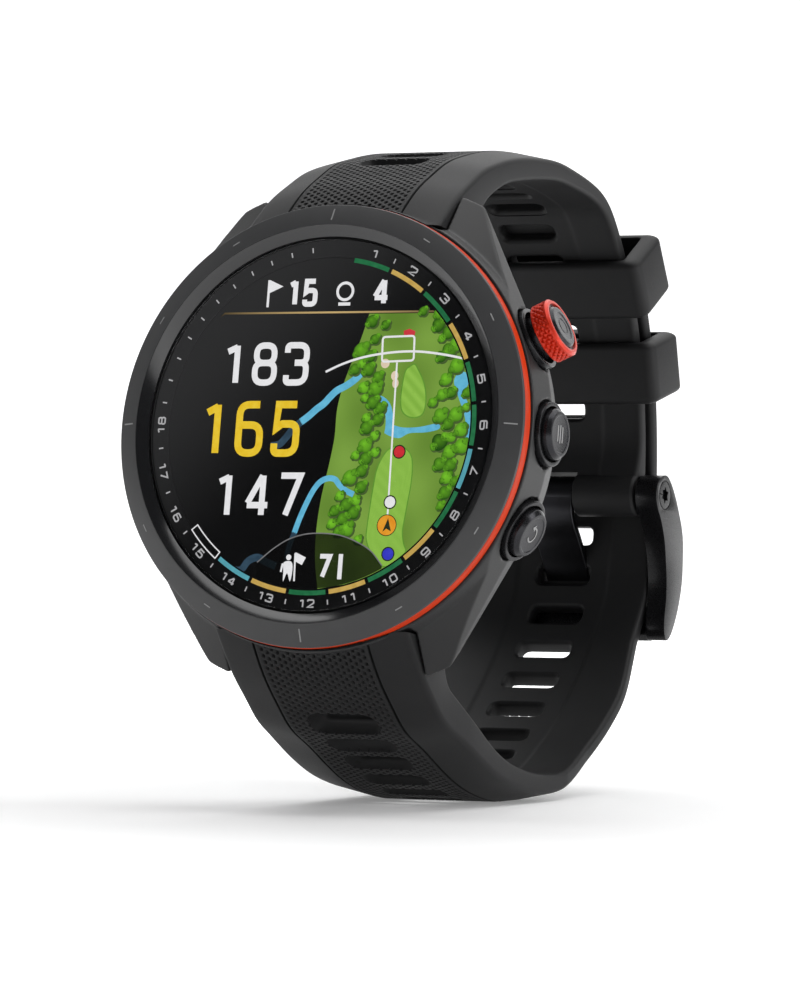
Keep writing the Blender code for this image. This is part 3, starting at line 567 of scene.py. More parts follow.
def raised(shape, low, high):
    """A flat stroke given a thickness between two z."""
    flat, faces = shape
    count = len(flat)
    verts = [(x, y, high) for x, y in flat] + [(x, y, low) for x, y in flat]
    return verts, faces + [[i + count for i in reversed(face)] for face in faces]


arrow = [(0.75 * math.cos(a), 0.75 * math.sin(a)) for a in np.radians(np.arange(-150, 95, 12))]
icon = joined(raised(ribbon2(arrow, 0.2), -0.02, 0.03), ([(-0.02, 1.12, 0.03), (-0.02, 0.38, 0.03), (-0.6,
        0.75, 0.03)], [[0, 1, 2]]))
build("lower_icon", *icon, button_axis(BUTTON_ANGLES["lower"]) @ at(z=24.96), MARK, "dark_steel",
      "lower_button_body", tidy=False)

# ---------------------------------------------------------------- the straps


def spline(points, step):
    """A smooth curve through rows of values whose first two are a place, read at about every step."""
    points = np.array(points, float)
    knots = np.concatenate([[0], np.cumsum(np.linalg.norm(np.diff(points[:, :2], axis=0), axis=1))])
    tangents = np.gradient(points, knots, axis=0)
    read_at = np.linspace(0, knots[-1], int(knots[-1] / step) + 2)
    index = np.clip(np.searchsorted(knots, read_at, side="right") - 1, 0, len(knots) - 2)
    width = (knots[index + 1] - knots[index])[:, None]
    t = (read_at - knots[index])[:, None] / width
    return ((2 * t**3 - 3 * t**2 + 1) * points[index] + (t**3 - 2 * t**2 + t) * tangents[index] * width
            + (3 * t**2 - 2 * t**3) * points[index + 1] + (t**3 - t**2) * tangents[index + 1] * width)


def on_arc(degrees, offset=0.0):
    """(depth, height) on the round stretch that both strap layers and the keepers share."""
    angle = math.radians(degrees)
    radius = 36.3 + offset
    return (24.5 + radius * math.cos(angle), 2.6 + radius * math.sin(angle))


def outward_normals(path):
    along = np.gradient(path, axis=0)
    normals = np.stack([along[:, 1], -along[:, 0]], axis=1)
    normals /= np.linalg.norm(normals, axis=1)[:, None]
    return normals if ((path - np.array([30.0, 0.0])) * normals).sum() > 0 else -normals


def nearest_run(path, point):
    run = np.concatenate([[0], np.cumsum(np.linalg.norm(np.diff(path, axis=0), axis=1))])
    fine = np.linspace(0, run[-1], 2000)
    places = np.stack([np.interp(fine, run, path[:, k]) for k in (0, 1)], axis=1)
    return fine[np.argmin(np.linalg.norm(places - np.array(point), axis=1))]


# (depth, height, edge thickness, crown) along each half, on the face against the wrist
LOWER_LINE = [
    (15.3, 26.4, 3.9, 1.0), (18.8, 28.0, 3.25, 0.9), (22.4, 29.6, 2.85, 0.9), (27.0, 31.2, 2.4, 1.0),
    (32.0, 31.9, 2.2, 1.1), (37.2, 31.9, 2.1, 1.1), (43.0, 31.0, 1.9, 0.9), (48.4, 28.2, 1.75, 0.6),
    (52.7, 25.1, 1.7, 0.6), (56.0, 21.8, 1.7, 0.6), (58.9, 18.4, 1.7, 0.6), (61.7, 14.6, 1.7, 0.6),
    (63.6, 10.2, 1.7, 0.6), (64.3, 5.6, 1.7, 0.6), (64.25, 1.2, 1.7, 0.6), (63.85, -3.4, 1.7, 0.6),
    (62.95, -9.2, 1.7, 0.6),
]
UPPER_LINE = [
    (15.2, 27.3, 3.1, 1.0), (19.0, 29.4, 2.5, 0.9), (23.4, 30.7, 2.5, 0.9), (28.4, 31.9, 2.3, 0.9),
    (33.0, 32.7, 2.15, 0.8), (37.4, 32.8, 2.0, 0.7), (41.8, 32.7, 1.85, 0.6), (45.5, 32.0, 1.75, 0.6),
]
HEAD_INNER = [(8.6, 21.3), (9.6, 21.4), (11.4, 22.6), (12.6, 24.8)]
HEAD_OUTER = [(2.3, 21.4), (5.2, 24.2), (7.2, 25.9), (9.5, 27.4)]
THICKNESS, LAYER_GAP, SLOT_PITCH = 2.35, 0.35, 4.49
ROW, COLUMN = 0.85 / 6, 0.59 / 3


def strap_lines(line, sign):
    """The inner, outer and panel lines of one strap half, and its half width, as the CAD has them."""
    rows = spline([(d, sign * h, e, c) for d, h, e, c in line], 2.6)
    inner = rows[:, :2]
    normals = outward_normals(inner)
    outer = inner + normals * rows[:, 2:3]
    head_inner = np.array([(d, sign * h) for d, h in HEAD_INNER])
    head_outer = np.array([(d, sign * h) for d, h in HEAD_OUTER])
    directions = head_outer - head_inner
    directions /= np.linalg.norm(directions, axis=1)[:, None]
    panel = np.vstack([head_outer + directions * 1.1, outer + normals * rows[:, 3:4]])
    inner = np.vstack([head_inner, inner])
    outer = np.vstack([head_outer, outer])
    run = np.concatenate([[0], np.cumsum(np.linalg.norm(np.diff(inner, axis=0), axis=1))])
    start, end = (0.0, 62.0) if sign > 0 else (57.0, 65.0)
    swell = 0.5 * np.clip(np.minimum((run - 6) / 8, (64 - run) / 8), 0, 1) if sign < 0 else 0.0
    swell = swell + 0.2 * np.clip((8 - run) / 4, 0, 1)
    if sign < 0:
        swell = swell + 0.3 * np.clip(1 - np.abs(run - 55) / 8, 0, 1)
    return inner, outer, panel, 11.1 + swell - (0.75 if sign > 0 else 0.5) * np.clip((run - start) / (
        end - start), 0, 1)


def strap_columns(half):
    """Positions across a strap, as (x, kind), where an edge's kind is its angle round the corner."""
    right = []
    for i in range(34):
        right.append((i * COLUMN, "panel"))
    edge = 6.49
    right += [(edge + 0.06, "lip"), (edge + 0.14, "groove"), (edge + 0.26, "groove"),
              (edge + 0.36, "margin")]
    right += [(edge + 0.36 + (half - 0.55 - edge - 0.36) * k / 5, "margin") for k in range(1, 6)]
    right += [(half - 0.5 + 0.5 * math.sin(a), a) for a in np.radians([18, 36, 54, 72, 90])]
    return [(-x, kind) for x, kind in reversed(right[1:])] + right


def strap_section(point_in, point_out, point_panel, half, row, panel_on):
    """One section's points: the outer face from left to right, then the inner face from right to left."""
    across = point_out - point_in
    thick = np.linalg.norm(across)
    across = across / thick
    crown = point_panel - point_out
    outer_face, inner_face = [], []
    for x, kind in strap_columns(half):
        far = abs(x)
        share = np.clip((half - far) / (half - 6.6), 0, 1)
        top = point_out + crown * share
        low = 0.0
        if kind == "panel":
            if panel_on and far < 6.3:
                # dimples stand at every third column, their rows shifted in every second column of dimples
                phase = int(round(x / COLUMN))
                dimple = round(phase / 3)
                sideways = (phase - 3 * dimple) * COLUMN
                lengthwise = ((row - 3 * (dimple % 2) + 3) % 6 - 3) * ROW
                near = sideways**2 * 1.15 + lengthwise**2 * 0.8
                low = 0.32 * max(0.0, 1 - near / 0.055)
        elif kind == "groove":
            low = 0.3
        elif kind == "lip":
            low = 0.03
        elif not isinstance(kind, str):
            low = 0.5 * (1 - math.cos(kind))
        # painted shade: the grooves and the deeper part of each dimple are marked to be painted nearly black
        pit_shade = 1.0 if kind == "groove" or (kind == "panel" and low > 0.1) else 0.0
        outer_face.append((x, *(top - across * low), pit_shade))
        rise = 0.0
        if not isinstance(kind, str):
            rise = 0.5 * (1 - math.cos(kind))
        elif far < 5.4:
            rise = 0.14
        elif far < 5.9:
            rise = 0.14 * (5.9 - far) / 0.5
        inner_face.append((x, *(point_in + across * rise), 0.0))
    return outer_face + inner_face[::-1]


SLOT_LEVELS = ((-2.3, 0.45), (-1.08, 0.38), (-1.0, 0.26), (-0.85, 0.1), (-0.65, 0.02), (-0.4, 0), (0.25, 0),
               (0.7, 0),
               (0.9, 0.05), (1.08, 0.2), (1.2, 0.36), (2.6, 0.9))


def slot_cutter(places, blind=()):
    """A row of rounded slots with eased rims, each at ((depth, height), normal), some not cut through."""
    shapes = []
    for number, ((depth, height), (nd, nh)) in enumerate(places):
        rings = []
        for level, grow in SLOT_LEVELS[:7] if number in blind else SLOT_LEVELS:
            long, high = 3.25 + grow, 1.03 + grow
            outline = rounded_rectangle(long, high, 0.85 + grow, 6)
            cd, ch = depth + nd * level, height + nh * level
            rings.append([(x, ch + nd * v, -(cd - nh * v)) for x, v in outline])
        count = len(rings[0])
        verts = [v for ring in rings for v in ring]
        faces = [list(range(count))[::-1], list(range(len(verts) - count, len(verts)))]
        for k in range(len(rings) - 1):
            for i in range(count):
                j = (i + 1) % count
                faces.append([k * count + i, k * count + j, (k + 1) * count + j, (k + 1) * count + i])
        shapes.append((verts, faces))
    return joined(*shapes)


def along_path(path, first, pitch, last):
    run = np.concatenate([[0], np.cumsum(np.linalg.norm(np.diff(path, axis=0), axis=1))])
    normals = outward_normals(path)
    places = []
    while first <= last:
        point = [float(np.interp(first, run, path[:, k])) for k in (0, 1)]
        normal = Vector([float(np.interp(first, run, normals[:, k])) for k in (0, 1)]).normalized()
        places.append((point, tuple(normal)))
        first += pitch
    return places


def make_strap(name, inner, outer, panel, half, sign, cutters, tip):
    rows = spline(np.hstack([panel, inner, outer, half[:, None]]), ROW)
    reach = 24
    padded = np.vstack([2 * rows[0] - rows[reach:0:-1], rows, 2 * rows[-1] - rows[-2:-reach - 2:-1]])
    weights = np.hanning(2 * reach + 3)[1:-1]
    rows = np.stack([np.convolve(padded[:, k], weights / weights.sum(), "valid") for k in range(7)], 1)
    sections = []
    total = len(rows)
    for row, values in enumerate(rows):
        width = values[6]
        if tip and total - row < 22:
            t = (22 - (total - row)) / 22
            width -= 3.0 * (1 - math.sqrt(1 - t * t * 0.97))
        panel_on = 8 < row < total - 24
        sections.append(strap_section(values[2:4], values[4:6], values[0:2], width, row, panel_on))
    grid = np.array(sections)
    x, depth, height = grid[..., 0], grid[..., 1], grid[..., 2]
    # the end at the case follows the case's round wall
    reach = np.hypot(x, height)
    push = (reach < 23.6) & (depth < 16)
    height = np.where(push, np.sign(height) * np.sqrt(np.maximum(23.6**2 - x**2, 0)), height)
    # the underside is flat where the watch stands
    world_z = DIAL_CENTRE.z - depth * math.sin(LEAN) + height * math.cos(LEAN)
    height = np.where(world_z < 0.02, height + (0.02 - world_z) / math.cos(LEAN), height)
    points = np.stack([x, height, -depth], -1).reshape(-1, 3)
    ring = grid.shape[1]
    index = np.arange(total * ring).reshape(total, ring)
    nxt = np.roll(index, -1, 1)
    quads = np.stack([index[:-1], nxt[:-1], nxt[1:], index[1:]], -1).reshape(-1, 4)
    faces = quads.tolist()
    for row in (0, total - 1):
        for i in range(ring // 2 - 1):
            faces.append([index[row, i], index[row, i + 1], index[row, ring - 2 - i],
                          index[row, ring - 1 - i]])
    mesh = carved((points.tolist(), faces), [("DIFFERENCE", cutter) for cutter in cutters],
                  pit_shades=grid[..., 3].ravel())
    if sign < 0:
        # the far lower stretch hangs a little to the left
        for vertex in mesh.vertices:
            depth, below = -vertex.co.z, -vertex.co.y
            vertex.co.x -= 0.5 * min(1, max(0, (depth - 44) / 6)) * min(1, max(0, (below - 8) / 6))
    settle(name, mesh, IDENTITY, RUBBER, "watch", [name], 38)


TANG_LINE = [(59.7, 2.2), (60.0, 0.5), (62.5, -2.2), (65.1, -4.8), (66.6, -6.7), (67.2, -8.6)]


def lower_strap():
    arc = [on_arc(degrees, THICKNESS + LAYER_GAP) for degrees in np.arange(14.0, 38.6, 3.5)]
    inner, outer, panel, half = strap_lines(LOWER_LINE + [(d, -h, 1.7, 0.65) for d, h in arc], -1)
    middle = (inner + panel)[2:] / 2
    run = np.linalg.norm(np.diff(middle, axis=0), axis=1).sum()
    runs = np.interp(np.arange(22), [0, 4, 9, 12, 15, 21], [5.4, 23.5, 47.4, 62.6, 77.5, 106.8])
    runs[15] -= 0.3
    places = [place for at_run in runs if at_run < run - 3.0 for place in along_path(middle, at_run,
            SLOT_PITCH, at_run)]
    start, end = np.array(TANG_LINE[2]), np.array(TANG_LINE[4])
    along = (end - start) / np.linalg.norm(end - start)
    across = np.array([-along[1], along[0]])
    centre = (start + end) / 2 + across * 0.4
    slope = math.degrees(math.atan2(-along[0], along[1]))
    slanted = moved(block(5.6, 14.0, 2.1), at(y=centre[1], z=-centre[0], rx=slope))
    window = moved(block(4.0, 1.6, 5.0), at(x=6.25, y=-BAR_Y, z=-11.9))
    make_strap("strap_lower", inner, outer, panel, half, -1, [slot_cutter(places, (14,)), slanted, window],
               True)


def upper_strap():
    arc = [on_arc(degrees) for degrees in np.arange(48.0, 7.9, -4.0)]
    inner, outer, panel, half = strap_lines(UPPER_LINE + [(d, h, 1.7, 0.65) for d, h in arc], 1)
    middle = (inner + panel)[4:] / 2
    end = [((60.0, 5.6), (62.4, 6.0)), ((59.4, 3.9), (62.6, 4.2)), ((59.3, 2.7), (62.7, 2.7))]
    last = nearest_run(np.vstack([middle, [((a[0] + b[0] + 0.4) / 2, (a[1] + b[1]) / 2) for a, b in end]]),
                       on_arc(15.3, THICKNESS / 2))
    places = along_path(middle, last % SLOT_PITCH, SLOT_PITCH, last + 0.1)
    inner = np.vstack([inner, [pair[0] for pair in end]])
    outer = np.vstack([outer, [pair[1] for pair in end]])
    panel = np.vstack([panel, [(d + 0.4, h) for _, (d, h) in end]])
    half = np.append(half, [10.35] * 3)
    blind = [k for k, (point, _) in enumerate(places) if 38 < point[0] < 52]
    window = moved(block(4.0, 1.6, 5.0), at(x=6.25, y=BAR_Y, z=-11.9))
    notch = moved(block(5.8, 5.4, 6.0), at(y=PIN_Y - 0.3, z=PIN_Z))
    make_strap("strap_upper", inner, outer, panel, half, 1, [slot_cutter(places, blind), joined(window,
            notch)], False)
    for side in (-1, 1):
        roll = [(1.1, 2.9), (2.48, 2.9, 0.1), (2.48, 10.0, 0.2), (2.25, 10.35, 0.2), (1.1, 10.35)]
        turned(f"strap_roll_{'right' if side > 0 else 'left'}", roll, pin_axis(ry=90 * side), RUBBER,
               "silicone", 64)


lower_strap()
upper_strap()
for side, sign in (("upper", 1), ("lower", -1)):
    barrel = lathe(eased([(0.95, -11.05), (1.9, -11.05, 0.2), (2.1, -10.8, 0.2), (2.1, 10.8, 0.2),
                          (1.9, 11.05, 0.2), (0.95, 11.05)]), 64)
    mesh = carved(moved(barrel, bar_axis(sign)),
                  [("DIFFERENCE", moved(block(4.0, 1.6, 5.0), at(x=6.25, y=sign * BAR_Y, z=-11.9)))])
    settle(f"strap_barrel_{side}", mesh, IDENTITY, RUBBER)
    fixed = [(0, 3.4), (0.75, 3.4, 0.08), (0.75, -10.9, 0.08), (0.5, -10.9), (0.5, -12.7, 0.1), (0, -12.7)]
    turned(f"bar_{side}", fixed, bar_axis(sign), BRIGHT, "bright_steel", 32, False,
           replaces=[f"spring_bar_{side}"])
    moving = [(0, 12.7), (0.5, 12.7, 0.1), (0.5, 10.9), (0.75, 10.9, 0.08), (0.75, 5.6, 0.08), (0, 5.6)]
    turned(f"plunger_{side}", moving, bar_axis(sign), BRIGHT, "bright_steel", 32, False,
           body=f"{side}_release", replaces=[f"release_lever_{side}"])
    knob = [(0, 0.2), (0.3, 0.2), (0.3, 2.0, 0.1), (0.5, 2.2, 0.08), (0.5, 3.2, 0.15), (0, 3.2)]
    turned(f"plunger_knob_{side}", knob, at(x=7.2, y=sign * BAR_Y, z=BAR_Z, ry=180), BRIGHT, "bright_steel",
           32, False,
           body=f"{side}_release")

# ---------------------------------------------------------------- keepers


KEEPER_HALF_LENGTH = 3.5


def keeper(name, degrees, body):
    """A moulded loop: a rounded rectangle with rounded rims."""
    inner = rounded_rectangle(10.9, 2.825, 0.5, 8)
    outer = rounded_rectangle(12.95, 4.025, 1.4, 8)
    # the rim's share across the wall and its place along the strap
    section = []
    for corner in ((0, -1), (1, -1), (1, 1), (0, 1)):
        ease_wall, ease_long = (0.12, 0.15) if corner[0] == 0 else (0.6, 0.75)
        for k in range(7):
            a = math.radians(90 * k / 6)
            share, along = 1 - math.cos(a), 1 - math.sin(a)
            if corner in ((1, -1), (0, 1)):
                share, along = along, share
            t = ease_wall * share if corner[0] == 0 else 1 - ease_wall * share
            section.append((t, corner[1] * (KEEPER_HALF_LENGTH - ease_long * along)))
    verts, count = [], len(section)
    for (ix, iz), (ox, oz) in zip(inner, outer):
        verts += [(ix + (ox - ix) * t, y, iz + (oz - iz) * t) for t, y in section]
    faces = []
    for k in range(len(inner)):
        m = (k + 1) % len(inner)
        for i in range(count):
            j = (i + 1) % count
            faces.append([k * count + i, k * count + j, m * count + j, m * count + i])
    place = at(y=2.6, z=-24.5, rx=180 + degrees) @ at(z=36.3 + (2 * THICKNESS + LAYER_GAP) / 2)
    build(name + "_loop", verts, faces, place, RUBBER, "silicone", body, [name], 50)


keeper("keeper_upper", 38.25, "upper_keeper")
keeper("keeper_lower", 22.1, "lower_keeper")

# ---------------------------------------------------------------- buckle

ARM_OUTLINE = [
    (58.75, 2.4), (59.4, 1.0), (61.0, -0.6), (62.8, -3.0), (63.9, -5.9), (64.25, -8.4), (64.15, -10.9),
               (64.4, -12.5),
    (65.2, -13.3), (66.6, -12.1), (68.0, -8.9), (68.5, -5.3), (67.6, -1.7), (65.6, 1.4), (63.7, 3.6),
               (61.8, 4.9),
    (60.2, 4.7), (59.0, 3.7),
]


def side_prism(outline, low, high):
    """A (depth, height) outline made solid between two x."""
    verts, faces = prism(outline, low, high)
    return [(z, h, -d) for d, h, z in verts], faces


def soft_outline(points, steps=5):
    closed = np.array(points)
    out = []
    for i in range(len(closed)):
        p0, p1, p2, p3 = (closed[(i + k) % len(closed)] for k in (-1, 0, 1, 2))
        for t in np.arange(steps) / steps:
            out.append(tuple(0.5 * (2 * p1 + (p2 - p0) * t + (2 * p0 - 5 * p1 + 4 * p2 - p3) * t**2
                                    + (3 * p1 - p0 - 3 * p2 + p3) * t**3)))
    return out


def sliced(shape, heights):
    """A shape with an edge loop across it at each height."""
    mesh = bpy.data.meshes.new("slices")
    mesh.from_pydata([tuple(v) for v in shape[0]], [], [tuple(f) for f in shape[1]])
    bm = bmesh.new()
    bm.from_mesh(mesh)
    for height in heights:
        everything = list(bm.verts) + list(bm.edges) + list(bm.faces)
        bmesh.ops.bisect_plane(bm, geom=everything, plane_co=(0, float(height), 0), plane_no=(0, 1, 0))
    bm.to_mesh(mesh)
    bm.free()
    out = [tuple(v.co) for v in mesh.vertices], [list(f.vertices) for f in mesh.polygons]
    bpy.data.meshes.remove(mesh)
    return out


for side, sign in (("right", 1), ("left", -1)):
    low, high = sorted((sign * 10.75, sign * 13.35))
    shape = side_prism(soft_outline(ARM_OUTLINE), low, high)
    shape = sliced(shape, np.arange(-13.0, 1.0, 0.7))
    slim = []
    for x, h, z in shape[0]:
        # below the boss each arm thins on its outer face
        down = min(1.0, max(0.0, (0.6 - h) / 5.5))
        down = down * down * (3 - 2 * down)
        slim.append((x - sign * 0.3 * down if abs(x) > 12 else x, h, z))
    mesh = carved((slim, shape[1]),
                  [("DIFFERENCE", moved(rod(0.9, 40, 32), pin_axis())),
                   ("DIFFERENCE", moved(rod(1.66, 1.2, 64), pin_axis(sign * 13.35)))],
                  [("BEVEL", {**SOFT_EDGE, "width": 0.26, "segments": 4, "angle_limit": math.radians(50)})])
    settle(f"buckle_arm_{side}", mesh, IDENTITY, BLACK_METAL, "buckle_body",
           ["buckle_frame"] if sign > 0 else (), 40)
    head = lathe(eased([(0, 13.37), (1.5, 13.37, 0.07), (1.58, 13.3), (1.58, 12.8), (0.55, 12.8),
                        (0.55, 10.3), (0, 10.3)], False), 64, False)
    star = [(r * math.cos(a), r * math.sin(a)) for r, a in zip([0.62, 0.98] * 6, np.radians(np.arange(0,
            360, 30)))]
    mesh = carved(moved(head, at(ry=90 * sign)),
                  [("DIFFERENCE", moved(prism(star, -0.4, 0.4), at(ry=90 * sign) @ at(z=13.37)))])
    settle(f"buckle_screw_{side}", mesh, at(y=PIN_Y, z=PIN_Z), BLACK_METAL, "buckle_body",
           [f"pin_screw_{side}"])
crossbar = [(66.1, -9.3), (68.3, -9.5), (67.6, -12.0), (65.9, -13.35), (65.0, -12.6)]
mesh = carved(side_prism(crossbar, -11.0, 11.0), [],
              [("BEVEL", {**SOFT_EDGE, "width": 0.22, "segments": 4})])
settle("buckle_crossbar", mesh, IDENTITY, BLACK_METAL, "buckle_body", (), 40)
turned("buckle_shaft", [(0, -9.9), (0.8, -9.9, 0.1), (0.8, 9.9, 0.1), (0, 9.9)], pin_axis(), BRIGHT,
       "bright_steel", 48, False, body="buckle_body", replaces=["buckle_pin"])


def make_tang():
    """The flat tang, swept along its bent line with eased edges, and its eye round the shaft."""
    line = spline(TANG_LINE, 0.25)
    normals = outward_normals(line)
    ring = rounded_rectangle(2.7, 0.45, 0.22, 4)
    verts = []
    for (d, h), (nd, nh) in zip(line, normals):
        verts += [(x, h + nh * v, -(d + nd * v)) for x, v in ring]
    count = len(ring)
    faces = [list(range(count)), list(range(len(verts) - count, len(verts)))[::-1]]
    for k in range(len(line) - 1):
        for i in range(count):
            j = (i + 1) % count
            faces.append([k * count + i, k * count + j, (k + 1) * count + j, (k + 1) * count + i])
    mesh = carved((verts, faces), [("DIFFERENCE", moved(rod(1.5, 8, 48), pin_axis()))])
    settle("tang_blade", mesh, IDENTITY, STEEL, "tang_body", ["buckle_tang"], 45)
    turned("tang_eye", [(1.1, -2.7, 0.05), (2.0, -2.7, 0.15), (2.0, 2.7, 0.15), (1.1, 2.7, 0.05)],
           pin_axis(), STEEL, "dark_steel", 96, body="tang_body")


make_tang()

# ---------------------------------------------------------------- back

holes = []
for quarter in range(4):
    x, y = 19.05 * math.cos(math.radians(45 + 90 * quarter)), 19.05 * math.sin(math.radians(
        45 + 90 * quarter))
    holes.append(("DIFFERENCE", joined(moved(rod(0.9, 4, 24), at(x, y, -12)))))
    holes.append(("DIFFERENCE", joined(moved(rod(1.7, 2, 40), at(x, y, -13.45)))))
    screw = lathe(eased([(0, -9.9), (0.6, -9.9), (0.6, -12.5), (1.4, -12.5, 0.05), (1.4, -12.95, 0.16),
                         (0, -12.95)], False), 48, False)
    cross = [("DIFFERENCE", moved(block(1.7, 0.32, 0.6), at(z=-12.95, rz=30))),
             ("DIFFERENCE", moved(block(0.32, 1.7, 0.6), at(z=-12.95, rz=30)))]
    settle(f"case_screw_{quarter + 1}", carved(screw, cross), at(x, y), BRIGHT,
           replaces=[f"back_screw_{quarter + 1}"])
holes.append(("DIFFERENCE", moved(block(9.6, 4.6, 4), at(y=13.2, z=-12.4))))
plate = lathe(eased([(7.6, -11.85), (21.4, -11.85, 0.1), (21.4, -12.45, 0.2), (20.6, -12.95, 0.3),
                     (12.0, -13.05), (11.6, -13.25, 0.1), (7.9, -13.28, 0.15), (7.6, -13.1)]), 192)
settle("back_plate", carved(plate, holes), IDENTITY, BACK, replaces=["case_back"],
       sharp=35)
turned("sensor_dome", [(0, -12.0), (7.3, -12.0), (7.3, -13.1, 0.15), (5.0, -13.5, 0.8), (0, -13.63)],
       IDENTITY, WINDOW,
       "glass", 128, False, replaces=["sensor_window"])
for number, (x, y, r) in enumerate(((0, 0, 1.2), (2.9, 0, 0.7), (-2.9, 0, 0.7), (0, 2.9, 0.7),
                                    (0, -2.9, 0.7))):
    turned(f"sensor_lens_{number}", [(0, -11.9), (r, -11.9, 0.1), (r, -11.3), (0, -11.3)], at(x, y),
           EMITTER if number else MARK,
           "bright_steel", 48, False)

# ---------------------------------------------------------------- the display's picture


class Picture:
    """Flat shapes on one level of the display, in one finish."""

    def __init__(self, name, material, level, slot="screen", limit=17.25):
        self.name, self.material, self.level, self.slot, self.limit = name, material, level, slot, limit
        self.verts, self.faces, self.tones = [], [], []

    def add(self, shape, tones=None):
        flat, faces = shape
        self.faces += [[i + len(self.verts) for i in face] for face in faces]
        for x, y in flat:
            far = math.hypot(x, y)
            keep = self.limit / far if self.limit and far > self.limit else 1.0
            self.verts.append((x * keep, y * keep, -0.872 + 0.0035 * self.level))
        self.tones += list(tones) if tones is not None else [0.5] * len(flat)
        return self

    def done(self):
        mesh = bpy.data.meshes.new(self.name)
        mesh.from_pydata(self.verts, [], self.faces)
        mesh.attributes.new("tone", "FLOAT", "POINT").data.foreach_set("value",
                np.array(self.tones, np.float32))
        settle(self.name, mesh, IDENTITY, self.material)


def patch(points, steps=6):
    """A closed area inside a smooth line through some points."""
    return polygon(soft_outline(points, steps))


def polygon(points):
    return points, [list(range(len(points)))]


def spot(x, y, r, steps=28, squash=1.0):
    turn = np.arange(steps) * 2 * math.pi / steps
    return polygon([(x + r * math.cos(a), y + r * squash * math.sin(a)) for a in turn])


def sector(low, high, start, end, steps=18):
    angles = np.radians(np.linspace(start, end, steps))
    return band(*([(r * math.cos(a), r * math.sin(a)) for a in angles] for r in (low, high)))


def band(one, two):
    """The area between two lines with as many points as each other."""
    count = len(one)
    return one + two, [[i, i + 1, count + i + 1, count + i] for i in range(count - 1)]


def flow(points, width, step=0.3):
    return ribbon2(spline([(x, y) for x, y in points], step)[:, :2], width)


# Each digit is drawn by strokes between (x, y, roundness) points in a unit box
DIGITS = {
    "0": [[(0, 0, 1), (1, 0, 1), (1, 1, 1), (0, 1, 1)]],
    "1": [[(0.66, 1.0), (0.66, 0.0)], [(0.18, 0.84), (0.66, 0.96)]],
    "2": [[(0, 0.78), (0, 1, 1), (1, 1, 1), (1, 0.56, 0.5), (0, 0.0), (1, 0.0)]],
    "3": [[(0, 0.8), (0, 1, 1), (1, 1, 1), (1, 0.53, 0.8), (0.4, 0.53)],
          [(0.4, 0.53), (1, 0.53, 0.8), (1, 0, 1), (0, 0, 1), (0, 0.2)]],
    "4": [[(0.76, 0.0), (0.76, 1.0)], [(0.72, 1.0), (0.02, 0.3)], [(0.0, 0.25), (1.06, 0.25)]],
    "5": [[(0.95, 1.0), (0.1, 1.0), (0.04, 0.5), (0.3, 0.6, 0.3), (1, 0.6, 1), (1, 0, 1), (0, 0, 1),
           (0, 0.2)]],
    "6": [[(0.92, 1.0), (0, 1.0, 1), (0, 0, 1), (1, 0, 1), (1, 0.58, 1), (0, 0.58, 0.3)]],
    "7": [[(0.0, 1.0), (1.0, 1.0), (0.34, 0.0)]],
    "8": [[(0.04, 0.53, 0.8), (0.96, 0.53, 0.8), (0.96, 1, 1), (0.04, 1, 1)],
          [(0, 0, 1), (1, 0, 1), (1, 0.53, 0.8), (0, 0.53, 0.8)]],
    "9": [[(1, 0.42, 0.3), (0, 0.42, 1), (0, 1, 1), (1, 1, 1), (1, 0, 1), (0.08, 0)]],
}


def digit(char, width, height, stroke, roundness, place=lambda x, y: (x, y)):
    """One digit with its lower left corner at 0, 0."""
    shapes = []
    for points in DIGITS[char]:
        closed = char == "0" or char == "8"
        corners = [(stroke / 2 + p[0] * (width - stroke), stroke / 2 + p[1] * (height - stroke),
                    (p[2] if len(p) > 2 else 0) * roundness)
                   for p in points]
        line = eased(corners, closed, 6)
        flat, faces = ribbon2(line, stroke, closed)
        shapes.append(([place(x, y) for x, y in flat], faces))
    return joined(*shapes)


def number(text, x, y, width, height, stroke, roundness, pitch):
    shapes = []
    for k, char in enumerate(text):
        left = x + k * pitch
        shapes.append(digit(char, width, height, stroke, roundness, lambda a, b,
                            left=left: (left + a, y + b)))
    return joined(*shapes)


WHITE = printed("screen_white", srgb(238, 238, 238), srgb(246, 246, 246))
YELLOW = printed("screen_yellow", srgb(238, 196, 36), srgb(246, 212, 62))
ring_colours = {
    "green": printed("ring_green", srgb(26, 104, 62), srgb(44, 122, 76)),
    "yellow": printed("ring_gold", srgb(196, 160, 78), srgb(212, 178, 96)),
    "teal": printed("ring_teal", srgb(82, 160, 172), srgb(98, 176, 188)),
}
GROUND = shaded("map_ground", srgb(98, 136, 46), srgb(132, 172, 70))
FAIRWAY = shaded("map_fairway", srgb(128, 180, 62), srgb(158, 208, 86))
SHORE = printed("map_shore", srgb(94, 150, 48), srgb(106, 160, 56))
WATER = printed("map_water", srgb(92, 178, 212), srgb(112, 198, 228))
DEEP = printed("map_dark_water", srgb(42, 64, 80), srgb(54, 80, 98))
TREE = shaded("map_trees", srgb(24, 70, 10), srgb(126, 208, 44))
SHADE = printed("map_tree_shade", srgb(66, 92, 42), srgb(78, 104, 50))
SAND = printed("map_sand", srgb(226, 206, 176), srgb(238, 218, 192))

header = Picture("header_marks", WHITE, 8)
header.add(number("15", -5.2, 12.6, 1.75, 3.0, 0.56, 0.5, 1.95))
header.add(number("4", 4.9, 12.6, 1.95, 3.0, 0.56, 0.5, 1.65))
header.add(ribbon2([(-7.3, 12.6), (-7.3, 15.5)], 0.28))
header.add(polygon([(-7.2, 15.5), (-5.6, 14.8), (-7.2, 14.1)]))
header.add(ribbon2([(0.9 * math.cos(a) + 1.7, 0.9 * math.sin(a) + 14.2) for a in np.radians(np.arange(0,
        360, 15))], 0.3, True))
header.add(ribbon2([(1.0, 12.85), (2.4, 12.85)], 0.34))
